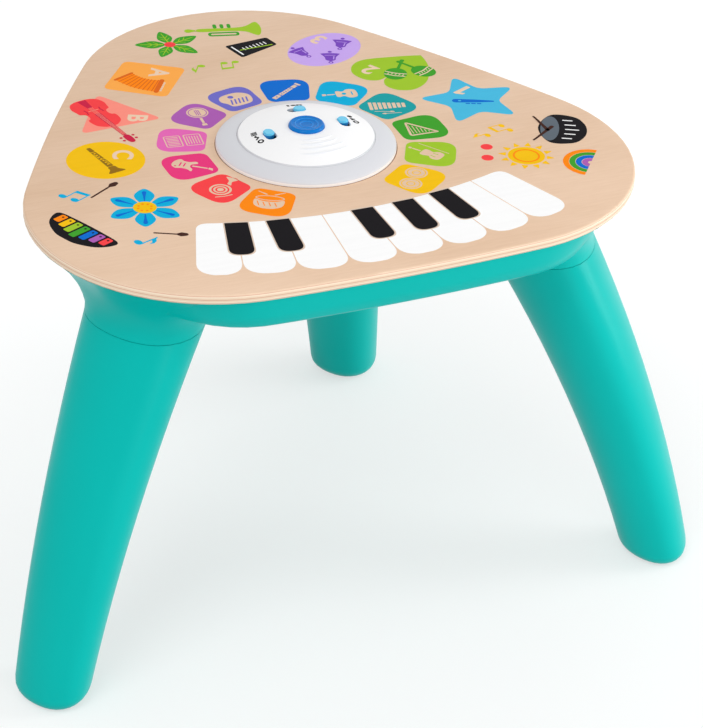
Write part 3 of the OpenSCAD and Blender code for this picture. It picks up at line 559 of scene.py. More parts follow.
def inset(outline, distance):
    """The outline moved inwards by a distance."""
    before, after = outline[-1:] + outline[:-1], outline[1:] + outline[:1]
    area = sum(p[0] * q[1] - q[0] * p[1] for p, q in zip(outline, after))
    side = distance if area > 0 else -distance
    points = []
    for p, (x, y), q in zip(before, outline, after):
        along = (Vector(q) - Vector(p)).normalized()
        points.append((x - along.y * side, y + along.x * side))
    return points


def mirrored(half):
    """A closed outline from its right half, drawn from bottom to top."""
    return half + [(-x, y) for x, y in half[::-1] if abs(x) > 1e-6]


# %% Print films
film_mm, sunk_mm, film_weld_mm = 0.05, 0.02, 0.001
prints = []


def film_piece(name, outlines, ink_name, low, high):
    """Fills the outlines between two heights and makes the film a mesh."""
    drawing = bpy.data.curves.new(name, "CURVE")
    drawing.dimensions = "2D"
    drawing.fill_mode = "BOTH"
    drawing.extrude = (high - low) / 2
    for outline in outlines:
        spline = drawing.splines.new("POLY")
        spline.points.add(len(outline) - 1)
        spline.points.foreach_set("co", [c for x, y in outline for c in (x, y, 0, 1)])
        spline.use_cyclic_u = True
    piece = new_piece(name, drawing)
    bpy.ops.object.convert(target="MESH")
    return inked(piece, ink_name, Matrix.Translation((0, 0, (low + high) / 2)))


def inked(piece, ink_name, seat):
    """Closes a film's mesh, puts it in its seat and gives it its ink."""
    weld(film_weld_mm, outwards=True)
    piece.data.transform(seat)
    piece.data.materials.clear()
    piece.data.materials.append(inks[ink_name])
    return piece


def to_hub(piece, body="table"):
    """Brings a piece from millimetres about the hub to metres in the frame, on its body."""
    piece.data.transform(Matrix.Translation((hub_x, hub_y, 0)) @ Matrix.Scale(MM, 4))
    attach(piece, body)


def printed(name, outlines, ink_name, layer=1, at=None):
    """A print on the top, drawn at its place; layer 2 lies on layer 1."""
    if at:
        outlines = placed(outlines, *at)
    low = top_z + (layer - 1) * film_mm - sunk_mm
    to_hub(film_piece(name, outlines, ink_name, low, top_z + layer * film_mm))
    prints.append(name)


# %% Ink colours
# The brown ink of the line round the light ring is painted shadow.
ink_colours = {
    "periwinkle": (112, 110, 200), "blue": (0, 108, 208), "cyan": (0, 174, 220), "teal": (24, 160, 165),
    "green": (62, 160, 42), "lime": (160, 200, 45), "yellow": (247, 194, 12), "orange": (255, 138, 10),
    "red": (250, 68, 72), "magenta": (236, 58, 126), "pink": (232, 106, 184), "purple": (174, 94, 180),
    "apricot": (255, 172, 78), "salmon": (255, 146, 130), "lilac": (203, 170, 242), "sky": (72, 188, 226),
    "crimson": (205, 30, 70), "rust": (226, 104, 24), "olive": (146, 106, 20), "violet": (122, 72, 190),
    "cream": (238, 208, 180), "white": (254, 254, 254), "black": (14, 11, 16), "slate": (96, 106, 116),
    "brown": (66, 36, 28), "seam": (148, 112, 92), "rim": (222, 201, 183)}
inks = {name: finish("ink_" + name, ink, {"Colour": colour}, 0.12, specular=0.03)
        for name, colour in ink_colours.items()}
print("inks:", len(inks))

# %% [markdown]
# ## Twelve tiles round the hub
# Each tile is a rounded trapezium that widens outwards, turned to face its own side of the table, with an
# instrument left open in it. The instruments are drawn here from simple strokes and outlines.

# %% Instruments for the tiles
bag = smooth([(-12, 1), (-10, 7.5), (-3, 10), (6, 9.5), (12, 4), (11.5, -4), (7, -9), (-6, -9.5),
    (-9, -4)])
pipes = [dash(-6 + 3.1 * k, -6, -3.8 + 3.1 * k, 0.5, 1.2) for k in range(5)]
bagpipe = [bag, disc(-2, 5, 2.2)] + pipes

parts = [rounded([(-15, -1.9), (-8, -1.7), (-8, 1.7), (-15, 1.9)], 0.7),
    rounded([(-7.2, -1.8), (6.5, -1.5), (6.5, 1.5), (-7.2, 1.8)], 0.5),
    rounded([(7.3, -1.7), (12, -1.6), (12, 1.6), (7.3, 1.7)], 0.5),
    rounded([(12.8, -2.3), (15, -2.5), (15, 2.5), (12.8, 2.3)], 0.5)]
recorder = parts + [dot(-5.4 + 2.6 * k, 0, 0.6) for k in range(5)] + [dot(-11.5, 0, 0.7)]

half = [(4.5, -8.7), (7.6, -5.4), (7.4, -0.8), (4.6, 2), (4.3, 4), (5.4, 6.4), (4.2, 9)]
body = smooth(mirrored(half))
guitar = [body, disc(0, 2.2, 1.9, count=24), dash(-2.6, -4.6, 2.6, -4.6, 1.1),
    taper(0.9, 10.2, 0.8, 17, 0.2), taper(1.5, 17.6, 1.8, 21, 0.6)]

bars = [block(-12 + 3.3 * k, -5 + 0.35 * k, -9.6 + 3.3 * k, 6.5 - 0.35 * k, 0.6) for k in range(8)]
beaters = [stroke([(-9, -7.2), (1, -8.2), (2.4, -8.4), (3.8, -8.5)], [0.7, 0.7, 2.1, 1.4]),
    stroke([(9, -10.6), (-1, -10.9), (-2.4, -11), (-3.8, -11)], [0.7, 0.7, 2.1, 1.4])]
marimba = bars + beaters

frame_line = rounded([(-10, -10), (13, -9), (-7, 12)], [3, 3.5, 4])
strings = [dash(-6.2 + 2.3 * k, -6.6, -6 + 2.3 * k, 6.6 - 2.25 * k, 0.6) for k in range(6)]
harp = [frame_line, inset(frame_line, 1.7)] + strings

half = [(3.6, -10), (5.6, -7), (5.2, -4), (3.4, -2), (3.6, 0), (4.4, 2.4), (3.2, 5.2)]
body = smooth(mirrored(half))
fiddle = [body, dash(-2, -6, -1.8, -2.6, 0.6), dash(2, -6, 1.8, -2.6, 0.6), taper(0.7, 6.4, 0.6, 13, 0.2),
    disc(0, 14.6, 1.2, count=20), dash(7.6, -11, 8.6, 13, 0.7)]

plate = (8.2, 6.9, 6.2, 3.2, 2.5)
cymbals = rings(0, 8.6, *plate) + rings(0, -8.4, *plate)

head = disc(0, 5, 10, 3.6)
shell = smooth([(-10, 2.6), (-9.8, -5), (-5, -9), (0, -9.8), (5, -9), (9.8, -5), (10, 2.6), (5, 0.6),
    (0, 0), (-5, 0.6)], 5)
cords = [dash(-8 + 4 * k, -0.2 - min(k, 1), -6.2 + 4 * k, -5.8, 0.7) for k in range(4)]
sticks = [dash(-3, 10, -9, 13.6, [1.4, 0.8]), dash(3, 10, 9, 13.6, [1.4, 0.8])]
drum = [head, inset(head, 1), shell] + cords + sticks

coil = rings(-2, -2, 8, 6.3, 5.1, 3.6, 2.4)
bell = smooth([(5.6, 4.2), (8.2, 8), (8.6, 14), (11, 12.4), (14.4, 9.2), (14.2, 6.4), (9.6, 5.4),
    (7.2, 1.2)])
horn = coil + [bell, stroke([(-9, -11), (-3, -12), (3, -11.6)], 1.1)]

body = smooth([(-3, -10), (2.8, -10.2), (6.4, -6.4), (5.4, -2), (5.8, 2.4), (8, 6.2), (4.6, 6.2),
    (2, 3.8), (-1.6, 3.6), (-4.6, 7.6), (-7, 5.6), (-5.2, 1), (-5.6, -3), (-7.4, -6.6)])
solid_guitar = [body, dash(-2.4, -4.4, 2.4, -4.4, 1.1), dash(-2.2, -1.2, 2.2, -1.2, 1.1), dot(3.4, -7.2, 0.8),
    taper(0.9, 4.8, 0.8, 16.4, 0.2), rounded([(-1.5, 17), (1.1, 17), (2.2, 21), (-0.9, 20.2)], 0.5)]

keys = block(-13.5, -8.5, -1.2, 8.5, 2)
folds = block(0.8, -8.5, 13.5, 8.5, 2)
bars = [dash(-11.2, -5.8 + 2.3 * k, -3.6, -5.8 + 2.3 * k, 1.1) for k in range(6)]
lines = [dash(3.2 + 1.9 * k, -5.6, 3.2 + 1.9 * k, 5.6, 0.7) for k in range(5)]
squeeze_box = [keys, inset(keys, 0.9), folds, inset(folds, 0.9)] + bars + lines

banjo = rings(0, 4, 8.4, 7.2, 6.5) + [dash(-1.4, 0, -1.4, 8, 0.6), dash(0, -0.4, 0, 8.4, 0.6),
    dash(1.4, 0, 1.4, 8, 0.6), taper(1.1, -5.2, 1, -13.6, 0.2), taper(1.8, -14.2, 2.1, -17.6, 0.6)]

# %% Tiles
tile_radius, tile_shift = 92.2, (-0.6, -1.7)
tile_corners = [(-17.4, -15.9), (20, -21), (20, 21), (-17.4, 15.9)]
tile_rounding = [7, 15.5, 15.5, 7]
tiles = [("periwinkle", 103.6, 0.95, bagpipe, 8, 1.06, 0), ("blue", 77.3, 1, recorder, 33, 1.1, 0),
         ("cyan", 50.8, 1, guitar, 80, 0.93, 5), ("teal", 25.3, 1, marimba, -14, 1.12, -1),
         ("green", -1.2, 1, harp, -4, 1.1, 0), ("lime", -27.2, 1.02, fiddle, 35, 1.12, 0),
         ("yellow", -53.4, 1.03, cymbals, -38, 1.04, 0), ("orange", -129.3, 0.99, drum, -30, 1.08, 0),
         ("red", -154, 0.97, horn, 0, 1.04, 0), ("magenta", -179.4, 0.99, solid_guitar, -128, 1.02, 4),
         ("pink", 155.2, 0.98, squeeze_box, -8, 1.06, 0), ("purple", 129.2, 0.96, banjo, -4, 1.02, -3)]
for tile_ink, bearing, tile_size, picture, turn, size, slide in tiles:
    x, y = (away + shift for away, shift in zip(turned(tile_radius, bearing), tile_shift))
    field = placed([rounded(tile_corners, tile_rounding, 12)], x, y, bearing, tile_size)
    down, across = turned(slide, turn)
    drawing = placed(picture, x + across, y - down, turn, size)
    printed("tile_" + tile_ink, field + drawing, tile_ink)
print("tiles:", len(tiles))

# %% [markdown]
# ## The keyboard
# Eight white keys fan out from a far centre, with five black keys over their joints. Each white key is a
# wedge with a round front edge. Under each black key lies a slightly larger one in the colour of pale wood,
# which shows as a thin line round it.

# %% Keyboard
fan_y = 244
key_edges = (-20.08, -15.5, -10.25, -5.04, 0, 5.02, 10.05, 15.26, 20.26)
front_radius, back_radius, back_y, gap_mm = 423, 370.5, 265, 0.9
side_in, middle_out = 1.4, 0.6


def on_fan(radius, degrees):
    away, across = turned(radius, degrees)
    return (across, fan_y - away)


def back_edge(degrees):
    """The radius at which a ray of the fan meets the curved back edge."""
    rise = back_y - fan_y
    along_ray = rise * cos(radians(degrees))
    return sqrt(back_radius ** 2 - rise ** 2 + along_ray ** 2) - along_ray


def white_key(left, right, left_corner, right_corner):
    slit = degrees(gap_mm / 2 / front_radius)
    a, b = left + slit, right - slit
    middle = (a + b) / 2
    front = [on_fan(front_radius - side_in, a), on_fan(front_radius + middle_out, middle),
        on_fan(front_radius - side_in, b)]
    back = [on_fan(back_edge(b), b), on_fan(back_edge(middle), middle), on_fan(back_edge(a), a)]
    rounding = [14.5, 8, 14.5, 9 if right_corner else 0.4, 2, 9 if left_corner else 0.4]
    return rounded(front + back, rounding, 10)


black_near, black_far, rim_mm = 9.1, 8.4, 1
black_keys = [((-92.8, -94), (-104.6, -138)), ((-63.3, -99.9), (-69.4, -145)),
    ((-0.1, -105.4), (-0.7, -149.8)), ((32.5, -104.2), (34, -148.9)), ((63.2, -100), (69.2, -144.6))]


def black_key(back, front, grow=0.0):
    start, end = Vector(back), Vector(front)
    along = (end - start).normalized()
    across = Vector((-along.y, along.x))
    near, far = black_near + grow, black_far + grow
    start, end = start - along * grow * 1.5, end + along * grow
    corners = [start - across * far, end - across * near, end + across * near, start + across * far]
    return rounded([tuple(c) for c in corners], [0.5, 8.4, 8.4, 0.5], 10)


for k in range(8):
    printed(f"white_key_{k + 1}", [white_key(key_edges[k], key_edges[k + 1], k == 0, k == 7)], "white")
for k, (back, front) in enumerate(black_keys):
    printed(f"black_key_line_{k + 1}", [black_key(back, front, rim_mm)], "rim", 2)
    printed(f"black_key_{k + 1}", [black_key(back, front)], "black", 3)
print("keyboard: 8 white and", len(black_keys), "black keys")

# %% [markdown]
# ## Six learning shapes
# Three letters on the left and three numbers on the right, each on its own plain shape with a larger
# instrument. A letter is text turned into a mesh; only the plain 1 is drawn as an outline.

# %% Shapes
heart = smooth([(104, 85), (95, 82), (85.5, 87.5), (81.3, 100.5), (86.5, 113), (99, 119.8), (123, 117.2),
    (143, 113), (146, 109.8), (143.6, 92), (135.5, 74), (126, 63), (114, 57.8), (102.5, 61.8), (97.4, 71.5),
    (99.8, 80.5)], 8)
star = [arc([13.4 + 36 * k], 20.6 if k % 2 else 42.5, None, 150.3, 26.5)[0] for k in range(10)]
printed("shape_square", [rounded([(-81.5, 180.5), (-40, 152), (-71.5, 109.5), (-113, 140)], 6)], "apricot")
printed("shape_triangle", [rounded([(-121, 131), (-87, 77), (-153, 73)], [7, 6, 7])], "salmon")
printed("shape_circle", [disc(-149, 27, 29.2)], "yellow")
printed("shape_oval", [disc(77, 148, 34.5, 25.5, 28)], "lilac")
printed("shape_heart", [heart], "lime")
printed("shape_star", [rounded(star, [9.5, 6] * 5, 10)], "sky")
print("learning shapes: 6")

# %% Letters and numbers
letter_size, letter_boldness = 21, 0.6
for text, x, y, turn in (("A", -63, 152, -119), ("B", -105, 84, -115), ("C", -135, 31, -112),
                         ("2", 97, 102, 118), ("3", 80, 167, 120)):
    bpy.ops.object.text_add(location=(0, 0, 0))
    piece = bpy.context.active_object
    piece.name = "letter_" + text
    words = piece.data
    words.body, words.size, words.offset = text, letter_size, letter_boldness
    words.align_x, words.align_y = "CENTER", "CENTER"
    words.extrude = (film_mm + sunk_mm) / 2
    only(piece)
    bpy.ops.object.convert(target="MESH")
    piece.data.name = piece.name
    seat = Matrix.Translation((x, y, top_z + 1.5 * film_mm - sunk_mm / 2))
    inked(piece, "cream", seat @ Matrix.Rotation(radians(turn), 4, "Z"))
    to_hub(piece)
    prints.append(piece.name)
one = [(-1.9, -8.3), (1.9, -8.3), (1.9, 8.3), (-0.8, 8.3), (-5.6, 5.4), (-5.6, 2.2), (-1.9, 4.4)]
printed("letter_1", [rounded(one, 0.3)], "cream", 2, (150.4, 44.4, 115))
print("letters and numbers: 6")

# %% Instruments on the shapes
def along(start, end):
    """The place of a drawing whose y axis runs from start to end."""
    run = Vector(end) - Vector(start)
    return (*start, degrees(atan2(run.y, run.x)) - 90)


violin_at = along((-136, 126), (-119.5, 46))
violin_half = [(5, 0.8), (11.5, 4), (14.2, 11), (13.4, 17.5), (12.6, 21.5), (9.2, 23.5), (8.2, 27.5),
    (9.2, 31.5), (11.6, 33), (11.8, 38), (10.2, 44), (6, 48), (2.6, 49.4)]
printed("violin_body", [smooth(mirrored(violin_half), 5)], "red", 2, violin_at)
printed("violin_neck", [taper(2.4, 26, 1.7, 67, 0.6), smooth([(-2.2, 68), (2.2, 68), (3, 74), (1.8, 79.5),
    (-1.8, 79.5), (-3, 74)])], "crimson", 3, violin_at)
printed("violin_tail", [taper(3.6, 1.5, 2, 15, 1)] + [dot(s * 5.2, y, 1.2) for s in (-1, 1)
    for y in (70, 75)], "crimson", 3, violin_at)
printed("violin_strings", [dash(x, 15, x * 0.7, 66, 0.35) for x in (-1.5, -0.5, 0.5, 1.5)]
    + [dash(-4, 20, 4, 20, 1)], "salmon", 4, violin_at)
printed("violin_holes", [stroke([(s * 6.5, 17), (s * 5.8, 20), (s * 6.6, 24)], 0.9) for s in (-1, 1)],
    "crimson", 4, violin_at)

fold_count, fold_sag = 11, 3.5
fold_lines = []
for k in range(fold_count):
    t = k / (fold_count - 1)
    sag = Vector((-0.6, -0.8)) * fold_sag * sin(pi * t)
    top_point = Vector((-83, 158)).lerp(Vector((-65, 138)), t) + sag
    foot_point = Vector((-99, 151)).lerp(Vector((-76, 121)), t) + sag
    fold_lines.append((tuple(foot_point), tuple(top_point)))
printed("accordion_fill", [[line[0] for line in fold_lines] + [line[1] for line in fold_lines[::-1]]],
    "orange", 2)
printed("accordion_folds", [stroke(line, 0.8) for line in fold_lines[1:-1]], "rust", 3)
printed("accordion_ends", [stroke(fold_lines[0], 2.6), stroke(fold_lines[-1], 3.8)], "rust", 3)
low_end, high_end, beside = *map(Vector, fold_lines[-1]), Vector((2.6, -1.6))
printed("accordion_keys", [stroke([low_end.lerp(high_end, t) + beside for t in (a, a + 0.07)], 1.6)
    for a in (0.1, 0.26, 0.42, 0.58, 0.74)], "cream", 4)

clarinet_at = along((-155.5, 49), (-146.5, 6))
printed("clarinet_body", [taper(1.6, 0, 2, 7, 0.8), taper(1.9, 7.8, 2.3, 20, 0.4),
    taper(2.3, 20.8, 2.6, 33, 0.4), smooth([(-2.6, 34), (2.6, 34), (3.6, 38.5), (6.8, 43), (0, 43.6),
    (-6.8, 43), (-3.6, 38.5)], 5)], "olive", 2, clarinet_at)
printed("clarinet_keys", [dot(0, 10 + 3.2 * k, 0.8) for k in range(7)]
    + [dash(1.4, 11, 1.4, 18, 0.5), dash(-1.4, 23, -1.4, 30, 0.5)], "yellow", 3, clarinet_at)

bell_half = [(1.2, 7.6), (4.2, 5.2), (5, 0), (7.6, -5), (8, -7)]
bell_outline = smooth(mirrored([(0, 8.2)] + bell_half + [(0, -8)]), 5)
for k, (x, y, turn) in enumerate(((57, 149, 200), (94, 153, 150), (76, 133, 160))):
    printed(f"bell_{k + 1}", [bell_outline, disc(0, 10.4, 2.2, count=20), dot(0, 10.4, 1.1),
        dash(-4.4, -3.6, 4.4, -3.6, 0.8), disc(0, -10.6, 1.8, count=20)], "violet", 2, (x, y, turn, 0.92))
    printed(f"bell_shine_{k + 1}", [dash(-2.6, 4, -3.2, -1.4, 0.9)], "lilac", 3, (x, y, turn, 0.92))

for k, (head, grip) in enumerate((((113, 88), (129, 110)), ((136, 85), (122, 111)))):
    maraca_at = along(head, grip)
    printed(f"maraca_{k + 1}", [disc(0, 0, 9.2, 10.4)], "green", 2, maraca_at)
    printed(f"maraca_band_{k + 1}", [stroke([(-8.2, -2.6), (0, -3.6), (8.2, -2.6)], 1.1),
        stroke([(-8.4, 2), (0, 1), (8.4, 2)], 1.1)] + [dash(x, -1.4, x + 0.6, 0, 0.8)
        for x in (-6, -3, 0, 3, 6)], "cream", 3, maraca_at)
    printed(f"maraca_handle_{k + 1}", [stroke([(0, 11), (0, 22), (0, 25)], [2.6, 2.2, 3.8])], "green", 3 + k,
        maraca_at)

flute_at = along((138, 29), (165, 18.5))
printed("flute_body", [stroke([(0, 0), (0, 16), (0, 29)], [6, 4.8, 2])], "blue", 2, flute_at)
printed("flute_keys", [dash(4.6, y, 4.6, y + 2.2, 1.5) for y in (8, 12.4, 16.8)], "blue", 3, flute_at)
printed("flute_mouth", [disc(0, 3, 1, 1.3, count=20)], "sky", 3, flute_at)
print("instruments on the shapes done")

# %% [markdown]
# ## Three garden bands
# Between the shapes stand three cheerful groups: a flower with chimes, leaves with a trumpet, and a sun
# with a snare drum. They are plain garden pictures with no faces, printed in layers like the rest.

# %% Notes and petals
def note_head(x=0.0, y=0.0):
    return arc(range(50, 351, 20), 3.1, 2.3, x, y)


def around(outline, x, y, count, turn=0.0):
    """The same outline set round a centre."""
    return [placed([outline], x, y, turn + 360 * k / count)[0] for k in range(count)]


note = [note_head(-0.1) + [(3, 0.4), (3, 7.6), (5, 6.4), (5.6, 3.6), (6.8, 6.6), (5.6, 9.2), (3.4, 10.8),
    (2.9, 12.4), (2, 12.4)]]
note_pair = [note_head() + [(3, 0.4), (3, 9), (11.5, 10.6), (11.5, 3.8)] + note_head(9.5, 1.5)
    + [(12.5, 1.9), (12.5, 13.6), (2, 11.8)]]

# %% Flower with chimes, on the left
flower_at = (-146, -51, 6, 12)
petal = smooth([(4.5, 0), (17.36, -7.5), (28, 0), (17.36, 7.5)], 8)
vein = stroke([(10, 0), (16, 0), (22.5, 0)], [0.8, 1.6, 3.4])
printed("flower_petals", around(petal, *flower_at), "cyan")
printed("flower_veins", around(vein, *flower_at), "blue", 2)
printed("flower_middle", [disc(-146, -51, 8.5)], "yellow", 3)
printed("flower_seeds", [dot(*seat, 1) for seat in arc(range(0, 360, 45), 5, None, -146, -51)], "orange", 4)
chimes_at = (-195, -66, 114, 1.3)
printed("chime_case", [smooth([(-24, -1), (-20, 9), (-9, 15), (0, 16), (9, 15), (20, 9), (24, -1), (12, -3),
    (-12, -3)], 6)], "black", 1, chimes_at)
for k, chime_ink in enumerate(("red", "purple", "blue", "green", "lime", "yellow", "orange")):
    x = -18 + 6 * k
    reach = 11.5 - abs(x) * 0.3
    printed("chime_" + chime_ink, [block(x - 2.3, -1.5, x + 2.3, reach, 1.2)], chime_ink, 2, chimes_at)
printed("chime_pins", [dot(-18 + 6 * k, 0.6, 0.7) for k in range(7)], "black", 3, chimes_at)
beater_widths = [1.6, 1.6, 5.6, 4.2]
beaters = [stroke([(-177, -24), (-160, -13), (-157, -11.2), (-154, -9.5)], beater_widths),
    stroke([(-152, -88), (-138, -95), (-135, -96.4), (-132, -97.6)], beater_widths)]
printed("flower_beaters", beaters, "brown")
printed("flower_notes", placed(note_pair, -196, -15, -62, 1.1) + placed(note, -167, -97, -70, 1.2), "cyan")
print("prints so far:", len(prints))

# %% Leaves with a trumpet, at the rear
sprig = [(-37, 197, 18 + 72 * k, size) for k, size in enumerate((0.95, 0.9, 1, 0.85, 0.95))]
leaf_outline = smooth([(4, 0), (8, -4.6), (16, -6.6), (28, 0), (16, 6.6), (8, 4.6)], 8)
printed("leaves", [placed([leaf_outline], *leaf)[0] for leaf in sprig], "green")
veins = [dash(6, 0, 24, 0, [1.4, 0.6])]
veins += [dash(10 + 5 * k, side * 1.2, 13.5 + 5 * k, side * 4.2, [0.9, 0.5]) for k in range(2)
    for side in (-1, 1)]
printed("leaf_veins", [line for leaf in sprig for line in placed(veins, *leaf)], "lime", 2)
printed("sprig_berry", [disc(-37, 197, 4.6)], "red", 3)
trumpet_at = (-6, 214, -14, 1.7)
printed("trumpet", [smooth([(0, 1.6), (14, 1.7), (22, 2.8), (28, 7.4), (30, 0), (28, -7.4), (22, -2.8),
    (14, -1.7), (0, -1.6)], 6), dash(-5, 0, -2, 0, [4, 1.6])], "lime", 1, trumpet_at)
printed("trumpet_tube", [block(4, -7, 19, -2.6, 2), block(5.4, -5.6, 17.6, -4, 0.8)]
    + [dash(8 + 3.4 * k, 2.6, 8 + 3.4 * k, 5.4, 1.8) for k in range(3)], "green", 1, trumpet_at)
metronome_at = (24, 172, -76, 1.3)
printed("metronome", [taper(9.5, -14, 6, 15, 2)], "black", 1, metronome_at)
printed("metronome_scale", [dash(-1.6, -6 + 2.6 * k, 1.6, -6 + 2.6 * k, 0.7) for k in range(7)]
    + [dash(-6.2, -11, 6.2, -11, 1)], "white", 2, metronome_at)
printed("metronome_hand", [dash(0.4, -9, 4.4, 12, 0.9)], "lime", 3, metronome_at)
printed("rear_notes", placed(note, -27, 152, 150, 1) + placed(note_pair, 1, 150, 165, 0.95), "lime")
print("prints so far:", len(prints))

# %% Sun with a snare drum, on the right
sun_x, sun_y = 149, -72
ray = rounded([(15.4, -2.8), (21.6, 0), (15.4, 2.8)], 1.2)
printed("sun_rays", around(ray, sun_x, sun_y, 12), "yellow")
printed("sun", [disc(sun_x, sun_y, 14)], "yellow")
printed("sun_ring", rings(sun_x, sun_y, 10.2, 8.8), "orange", 2)
printed("sun_dots", [disc(127, -49, 4.6, count=32), disc(120, -65, 4.6, count=32)], "red")
for k, arch_ink in enumerate(("orange", "green", "blue", "purple")):
    outer = 21 - 4.8 * k
    arch = arc(range(0, 181, 9), outer) + arc(range(180, -1, -9), outer - 4.4)
    printed("arch_" + arch_ink, [arch], arch_ink, 1, (190, -98, 50))
snare_at = (194, -42, 62, 1.5)
printed("snare_shell", [smooth([(-15, 6), (-14.6, -6), (-8, -11.4), (0, -13), (8, -11.4), (14.6, -6), (15, 6),
    (0, 12)], 6)], "black", 1, snare_at)
printed("snare_head", [disc(0, 6, 13.4, 4.8)], "slate", 2, snare_at)
printed("snare_rods", [dash(x, -0.6 - abs(y), x, -8.6 + abs(x) * 0.35, 0.9)
    for x, y in ((-10, 0), (-5, 1.2), (0, 1.6), (5, 1.2), (10, 0))], "white", 2, snare_at)
printed("snare_sticks", [stroke([(-2, 7), (10, 13.4), (12, 14.6)], [2.2, 1.1, 1.1]),
    stroke([(2, 5), (-12, 12.6), (-14, 13.8)], [2.2, 1.1, 1.1])], "brown", 4, snare_at)
printed("sun_notes", placed(note_pair, 156, -30, 100, 0.95) + placed(note, 136, -32, 100, 0.95), "yellow")
print("prints:", len(prints))

# %% [markdown]
# ## Hub details
# The dome carries small dark signs by each sliding knob and a few shallow sound ripples in front of the
# button. A sign lies in the slope of the dome, so its film is tilted before it is put in place.

# %% Signs on the dome
dome_flat, dome_rim, dome_crown, dome_drop, dome_curve = 16.5, 52, 355.8, 7, 1.7
sign_size, sign_low, sign_high, half_step = 1.5, -0.2, 0.08, 0.5


def dome_height(radius):
    q = max(radius - dome_flat, 0) / (dome_rim - dome_flat)
    return dome_crown - dome_drop * q ** dome_curve


bars = [taper(1.5, -1.6 + 1.2 * k, 1.5, -0.8 + 1.2 * k, 0.2) for k in range(3)]
wave = [stroke([(0.8 * sin(k * 1.1), -1.6 + 0.46 * k) for k in range(8)], 0.85)]
hoop = [disc(0, 0, 1.65, count=28), disc(0, 0, 0.8, count=28)]
spot = [disc(0, 0, 1.35, count=24)]
wedge = [rounded([(-1.4, -1.5), (1.6, 0), (-1.4, 1.5)], 0.3)]
bar = [taper(1.5, -0.6, 1.5, 0.6, 0.2)]
for name, outlines, radius, bearing in (
        ("left_1", bars, 40.2, 170.2), ("left_2", wave, 39.6, 179.2), ("left_3", hoop, 39.4, 188.6),
        ("rear_1", bar, 43.4, 86.4), ("rear_2", spot, 43.3, 81), ("rear_3", hoop, 43.2, 75.2),
        ("right_1", spot, 40.6, 14.2), ("right_2", wedge, 40.4, 7), ("right_3", hoop, 40.5, -0.2)):
    piece = film_piece("sign_" + name, placed(outlines, 0, 0, 0, sign_size), "black", sign_low, sign_high)
    slope = atan((dome_height(radius - half_step) - dome_height(radius + half_step)) / (2 * half_step))
    seat = Matrix.Translation((*turned(radius, bearing), dome_height(radius)))
    turn = Matrix.Rotation(radians(bearing), 4, "Z")
    piece.data.transform(seat @ turn @ Matrix.Rotation(slope, 4, "Y"))
    to_hub(piece)
print("signs: 9")

# %% Ripples
# Each is a shallow ridge that fades at its ends, swept along an arc of the dome.
ripple_wire, ripple_rise, ripple_points, end_swell, least_radius = 1.8, 1.1, 41, 0.02, 0.05
for number, (radius, spread) in enumerate(((22.5, 36), (28, 34), (33.5, 32), (39, 30))):
    line = bpy.data.curves.new(f"ripple_{number + 1}", "CURVE")
    line.dimensions = "3D"
    line.bevel_depth = ripple_wire
    line.bevel_resolution = 6
    line.use_fill_caps = True
    spline = line.splines.new("POLY")
    spline.points.add(ripple_points - 1)
    for k in range(ripple_points):
        t = k / (ripple_points - 1)
        swell = sin(pi * t) ** 0.5 if 0 < t < 1 else end_swell
        z = dome_height(radius) - ripple_wire * swell + ripple_rise * sin(pi * t)
        spline.points[k].co = (*turned(radius, -90 + spread * (2 * t - 1)), z, 1)
        spline.points[k].radius = max(swell, least_radius)
    piece = new_piece(line.name, line)
    bpy.ops.object.convert(target="MESH")
    bpy.ops.object.shade_smooth()
    # A ripple's greyer colour is painted shade along it.
    piece.data.materials.append(ripple_painted_shade)
    to_hub(piece)
print("ripples:", number + 1)

# %% [markdown]
# ## Button and ring details
# The button is dished, with two raised circles in its dish. Each starts as a thin torus that is pressed
# flat, and it sinks halfway into the dish. The circles are a lighter blue: a painted highlight. A fine brown
# line on the wood round the light ring is a painted shadow of the gap under its edge.

# %% Circles in the button's dish
circle_wire, circle_flatness = 0.5, 0.7
button_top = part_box("mode_button")[1].z / MM
for name, radius, below_top in (("button_circle_1", 8.6, 0.82), ("button_circle_2", 4.9, 1.36)):
    bpy.ops.object.select_all(action="DESELECT")
    bpy.ops.mesh.primitive_torus_add(major_radius=radius, minor_radius=circle_wire, major_segments=72,
        minor_segments=12)
    piece = bpy.context.active_object
    piece.name = name
    bpy.ops.object.mode_set(mode="EDIT")
    bpy.ops.transform.resize(value=(1, 1, circle_flatness))
    bpy.ops.transform.translate(value=(0, 0, button_top - below_top))
    bpy.ops.object.mode_set(mode="OBJECT")
    bpy.ops.object.shade_smooth()
    # The circle's lighter blue is a painted highlight.
    piece.data.materials.append(ripple_blue_highlight)
    to_hub(piece, "mode_button")
    print(name, "radius", radius, "mm")

# %% Painted shadow round the light ring
seam_in, seam_out = 0.02, 0.75
ring_edge = (ring_high.x - ring_low.x) / 2 / MM
seam = [disc(0, 0, ring_edge + beyond, count=160) for beyond in (seam_out, seam_in)]
# A thin brown ring on the wood just outside the light ring: painted shadow of the gap under its edge.
printed("ring_seam", seam, "seam")
print("light ring's edge at", round(ring_edge, 2), "mm")

# %% [markdown]
# ## Floor and light
# A pale floor and an even white surround give soft contact shadows. Rays that leave the camera straight
# for the surround see plain white, and so do reflections, while the light on the table stays moderate.

# %% Rays that see the surround plainly
def seen_plainly(tree):
    """1 for rays from the camera and in reflections, 0 for the rays that light the table."""
    rays = put(tree, "ShaderNodeLightPath").outputs
    reflected = maths("MAXIMUM", rays["Is Glossy Ray"], rays["Is Transmission Ray"])
    return maths("MAXIMUM", rays["Is Camera Ray"], reflected)


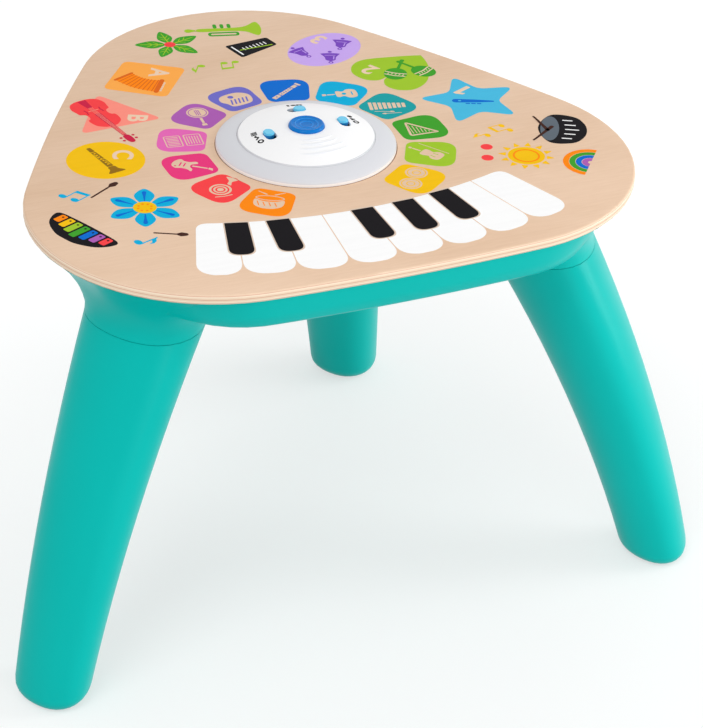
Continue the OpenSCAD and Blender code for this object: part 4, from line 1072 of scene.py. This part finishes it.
# %% Floor
bpy.ops.object.select_all(action="DESELECT")
bpy.ops.mesh.primitive_plane_add(size=9, location=(0.4, 1.2, 0))
floor = bpy.context.active_object
floor.name = "floor"
floor.data.transform(Matrix.Translation(floor.location))
floor.location = (0, 0, 0)
floor_paint = bpy.data.materials.new("floor_paint")
floor_paint.use_nodes = True
tree = floor_paint.node_tree
paint = tree.nodes["Principled BSDF"].inputs
paint["Roughness"].default_value = 0.9
paint["Specular IOR Level"].default_value = 0.1
paint["Emission Color"].default_value = (1, 1, 1, 1)
place = put(tree, "ShaderNodeTexCoord").outputs["Object"]
spread = noise_on(place, 3, 2)
plain_floor = mixed(ramp(spread, 0.3, 0.7), (0.70, 0.71, 0.72, 1), (0.72, 0.72, 0.73, 1))
seen = seen_plainly(tree)
join(mixed(seen, plain_floor, (0.42, 0.42, 0.42, 1)), paint["Base Color"])

# %% The floor gets brighter away from the table, a painted shade near it
# Camera rays see the floor glow less near the table: a painted shade of the table on the floor.
bright_x, bright_y, near_glow, far_glow = 0.05, 0.22, 0.555, 0.67
across = maths("+", axes(place)["X"], bright_x)
away = maths("+", axes(place)["Y"], bright_y)
from_middle = maths("SQRT", maths("+", maths("*", across, across), maths("*", away, away)))
painted_shade_glow = ramp(from_middle, 0.15, 0.75, near_glow, far_glow)
join(maths("*", seen, painted_shade_glow), paint["Emission Strength"])
floor.data.materials.append(floor_paint)
print("floor glows from", near_glow, "to", far_glow)

# %% Surround and lamps
world = bpy.data.worlds.new("studio")
bpy.context.scene.world = world
world.use_nodes = True
tree = world.node_tree
background = tree.nodes["Background"].inputs
background["Color"].default_value = (1, 1, 1, 1)
surround_level = 0.6
join(ramp(seen_plainly(tree), 0, 1, surround_level, 1.0), background["Strength"])

for name, place, aim_height, size, watts in (
        ("key_lamp", (-1.3, -1.1, 2.4), 0.2, 1.5, 22), ("side_lamp", (2.1, -0.4, 1.7), 0.25, 1.2, 12),
        ("low_lamp", (2.05, -0.85, 0.5), 0.14, 0.9, 16), ("front_lamp", (0.4, -2.25, 0.45), 0.14, 0.8, 8)):
    light = bpy.data.lights.new(name, "AREA")
    light.shape, light.size, light.energy = "DISK", size, watts
    lamp = new_piece(name, light)
    lamp.location = place
    lamp.rotation_euler = (Vector((0, 0, aim_height)) - Vector(place)).to_track_quat("-Z", "Y").to_euler()
print("lamps:", [light.name for light in bpy.data.lights])

# %% Update the view layer
bpy.context.view_layer.update()
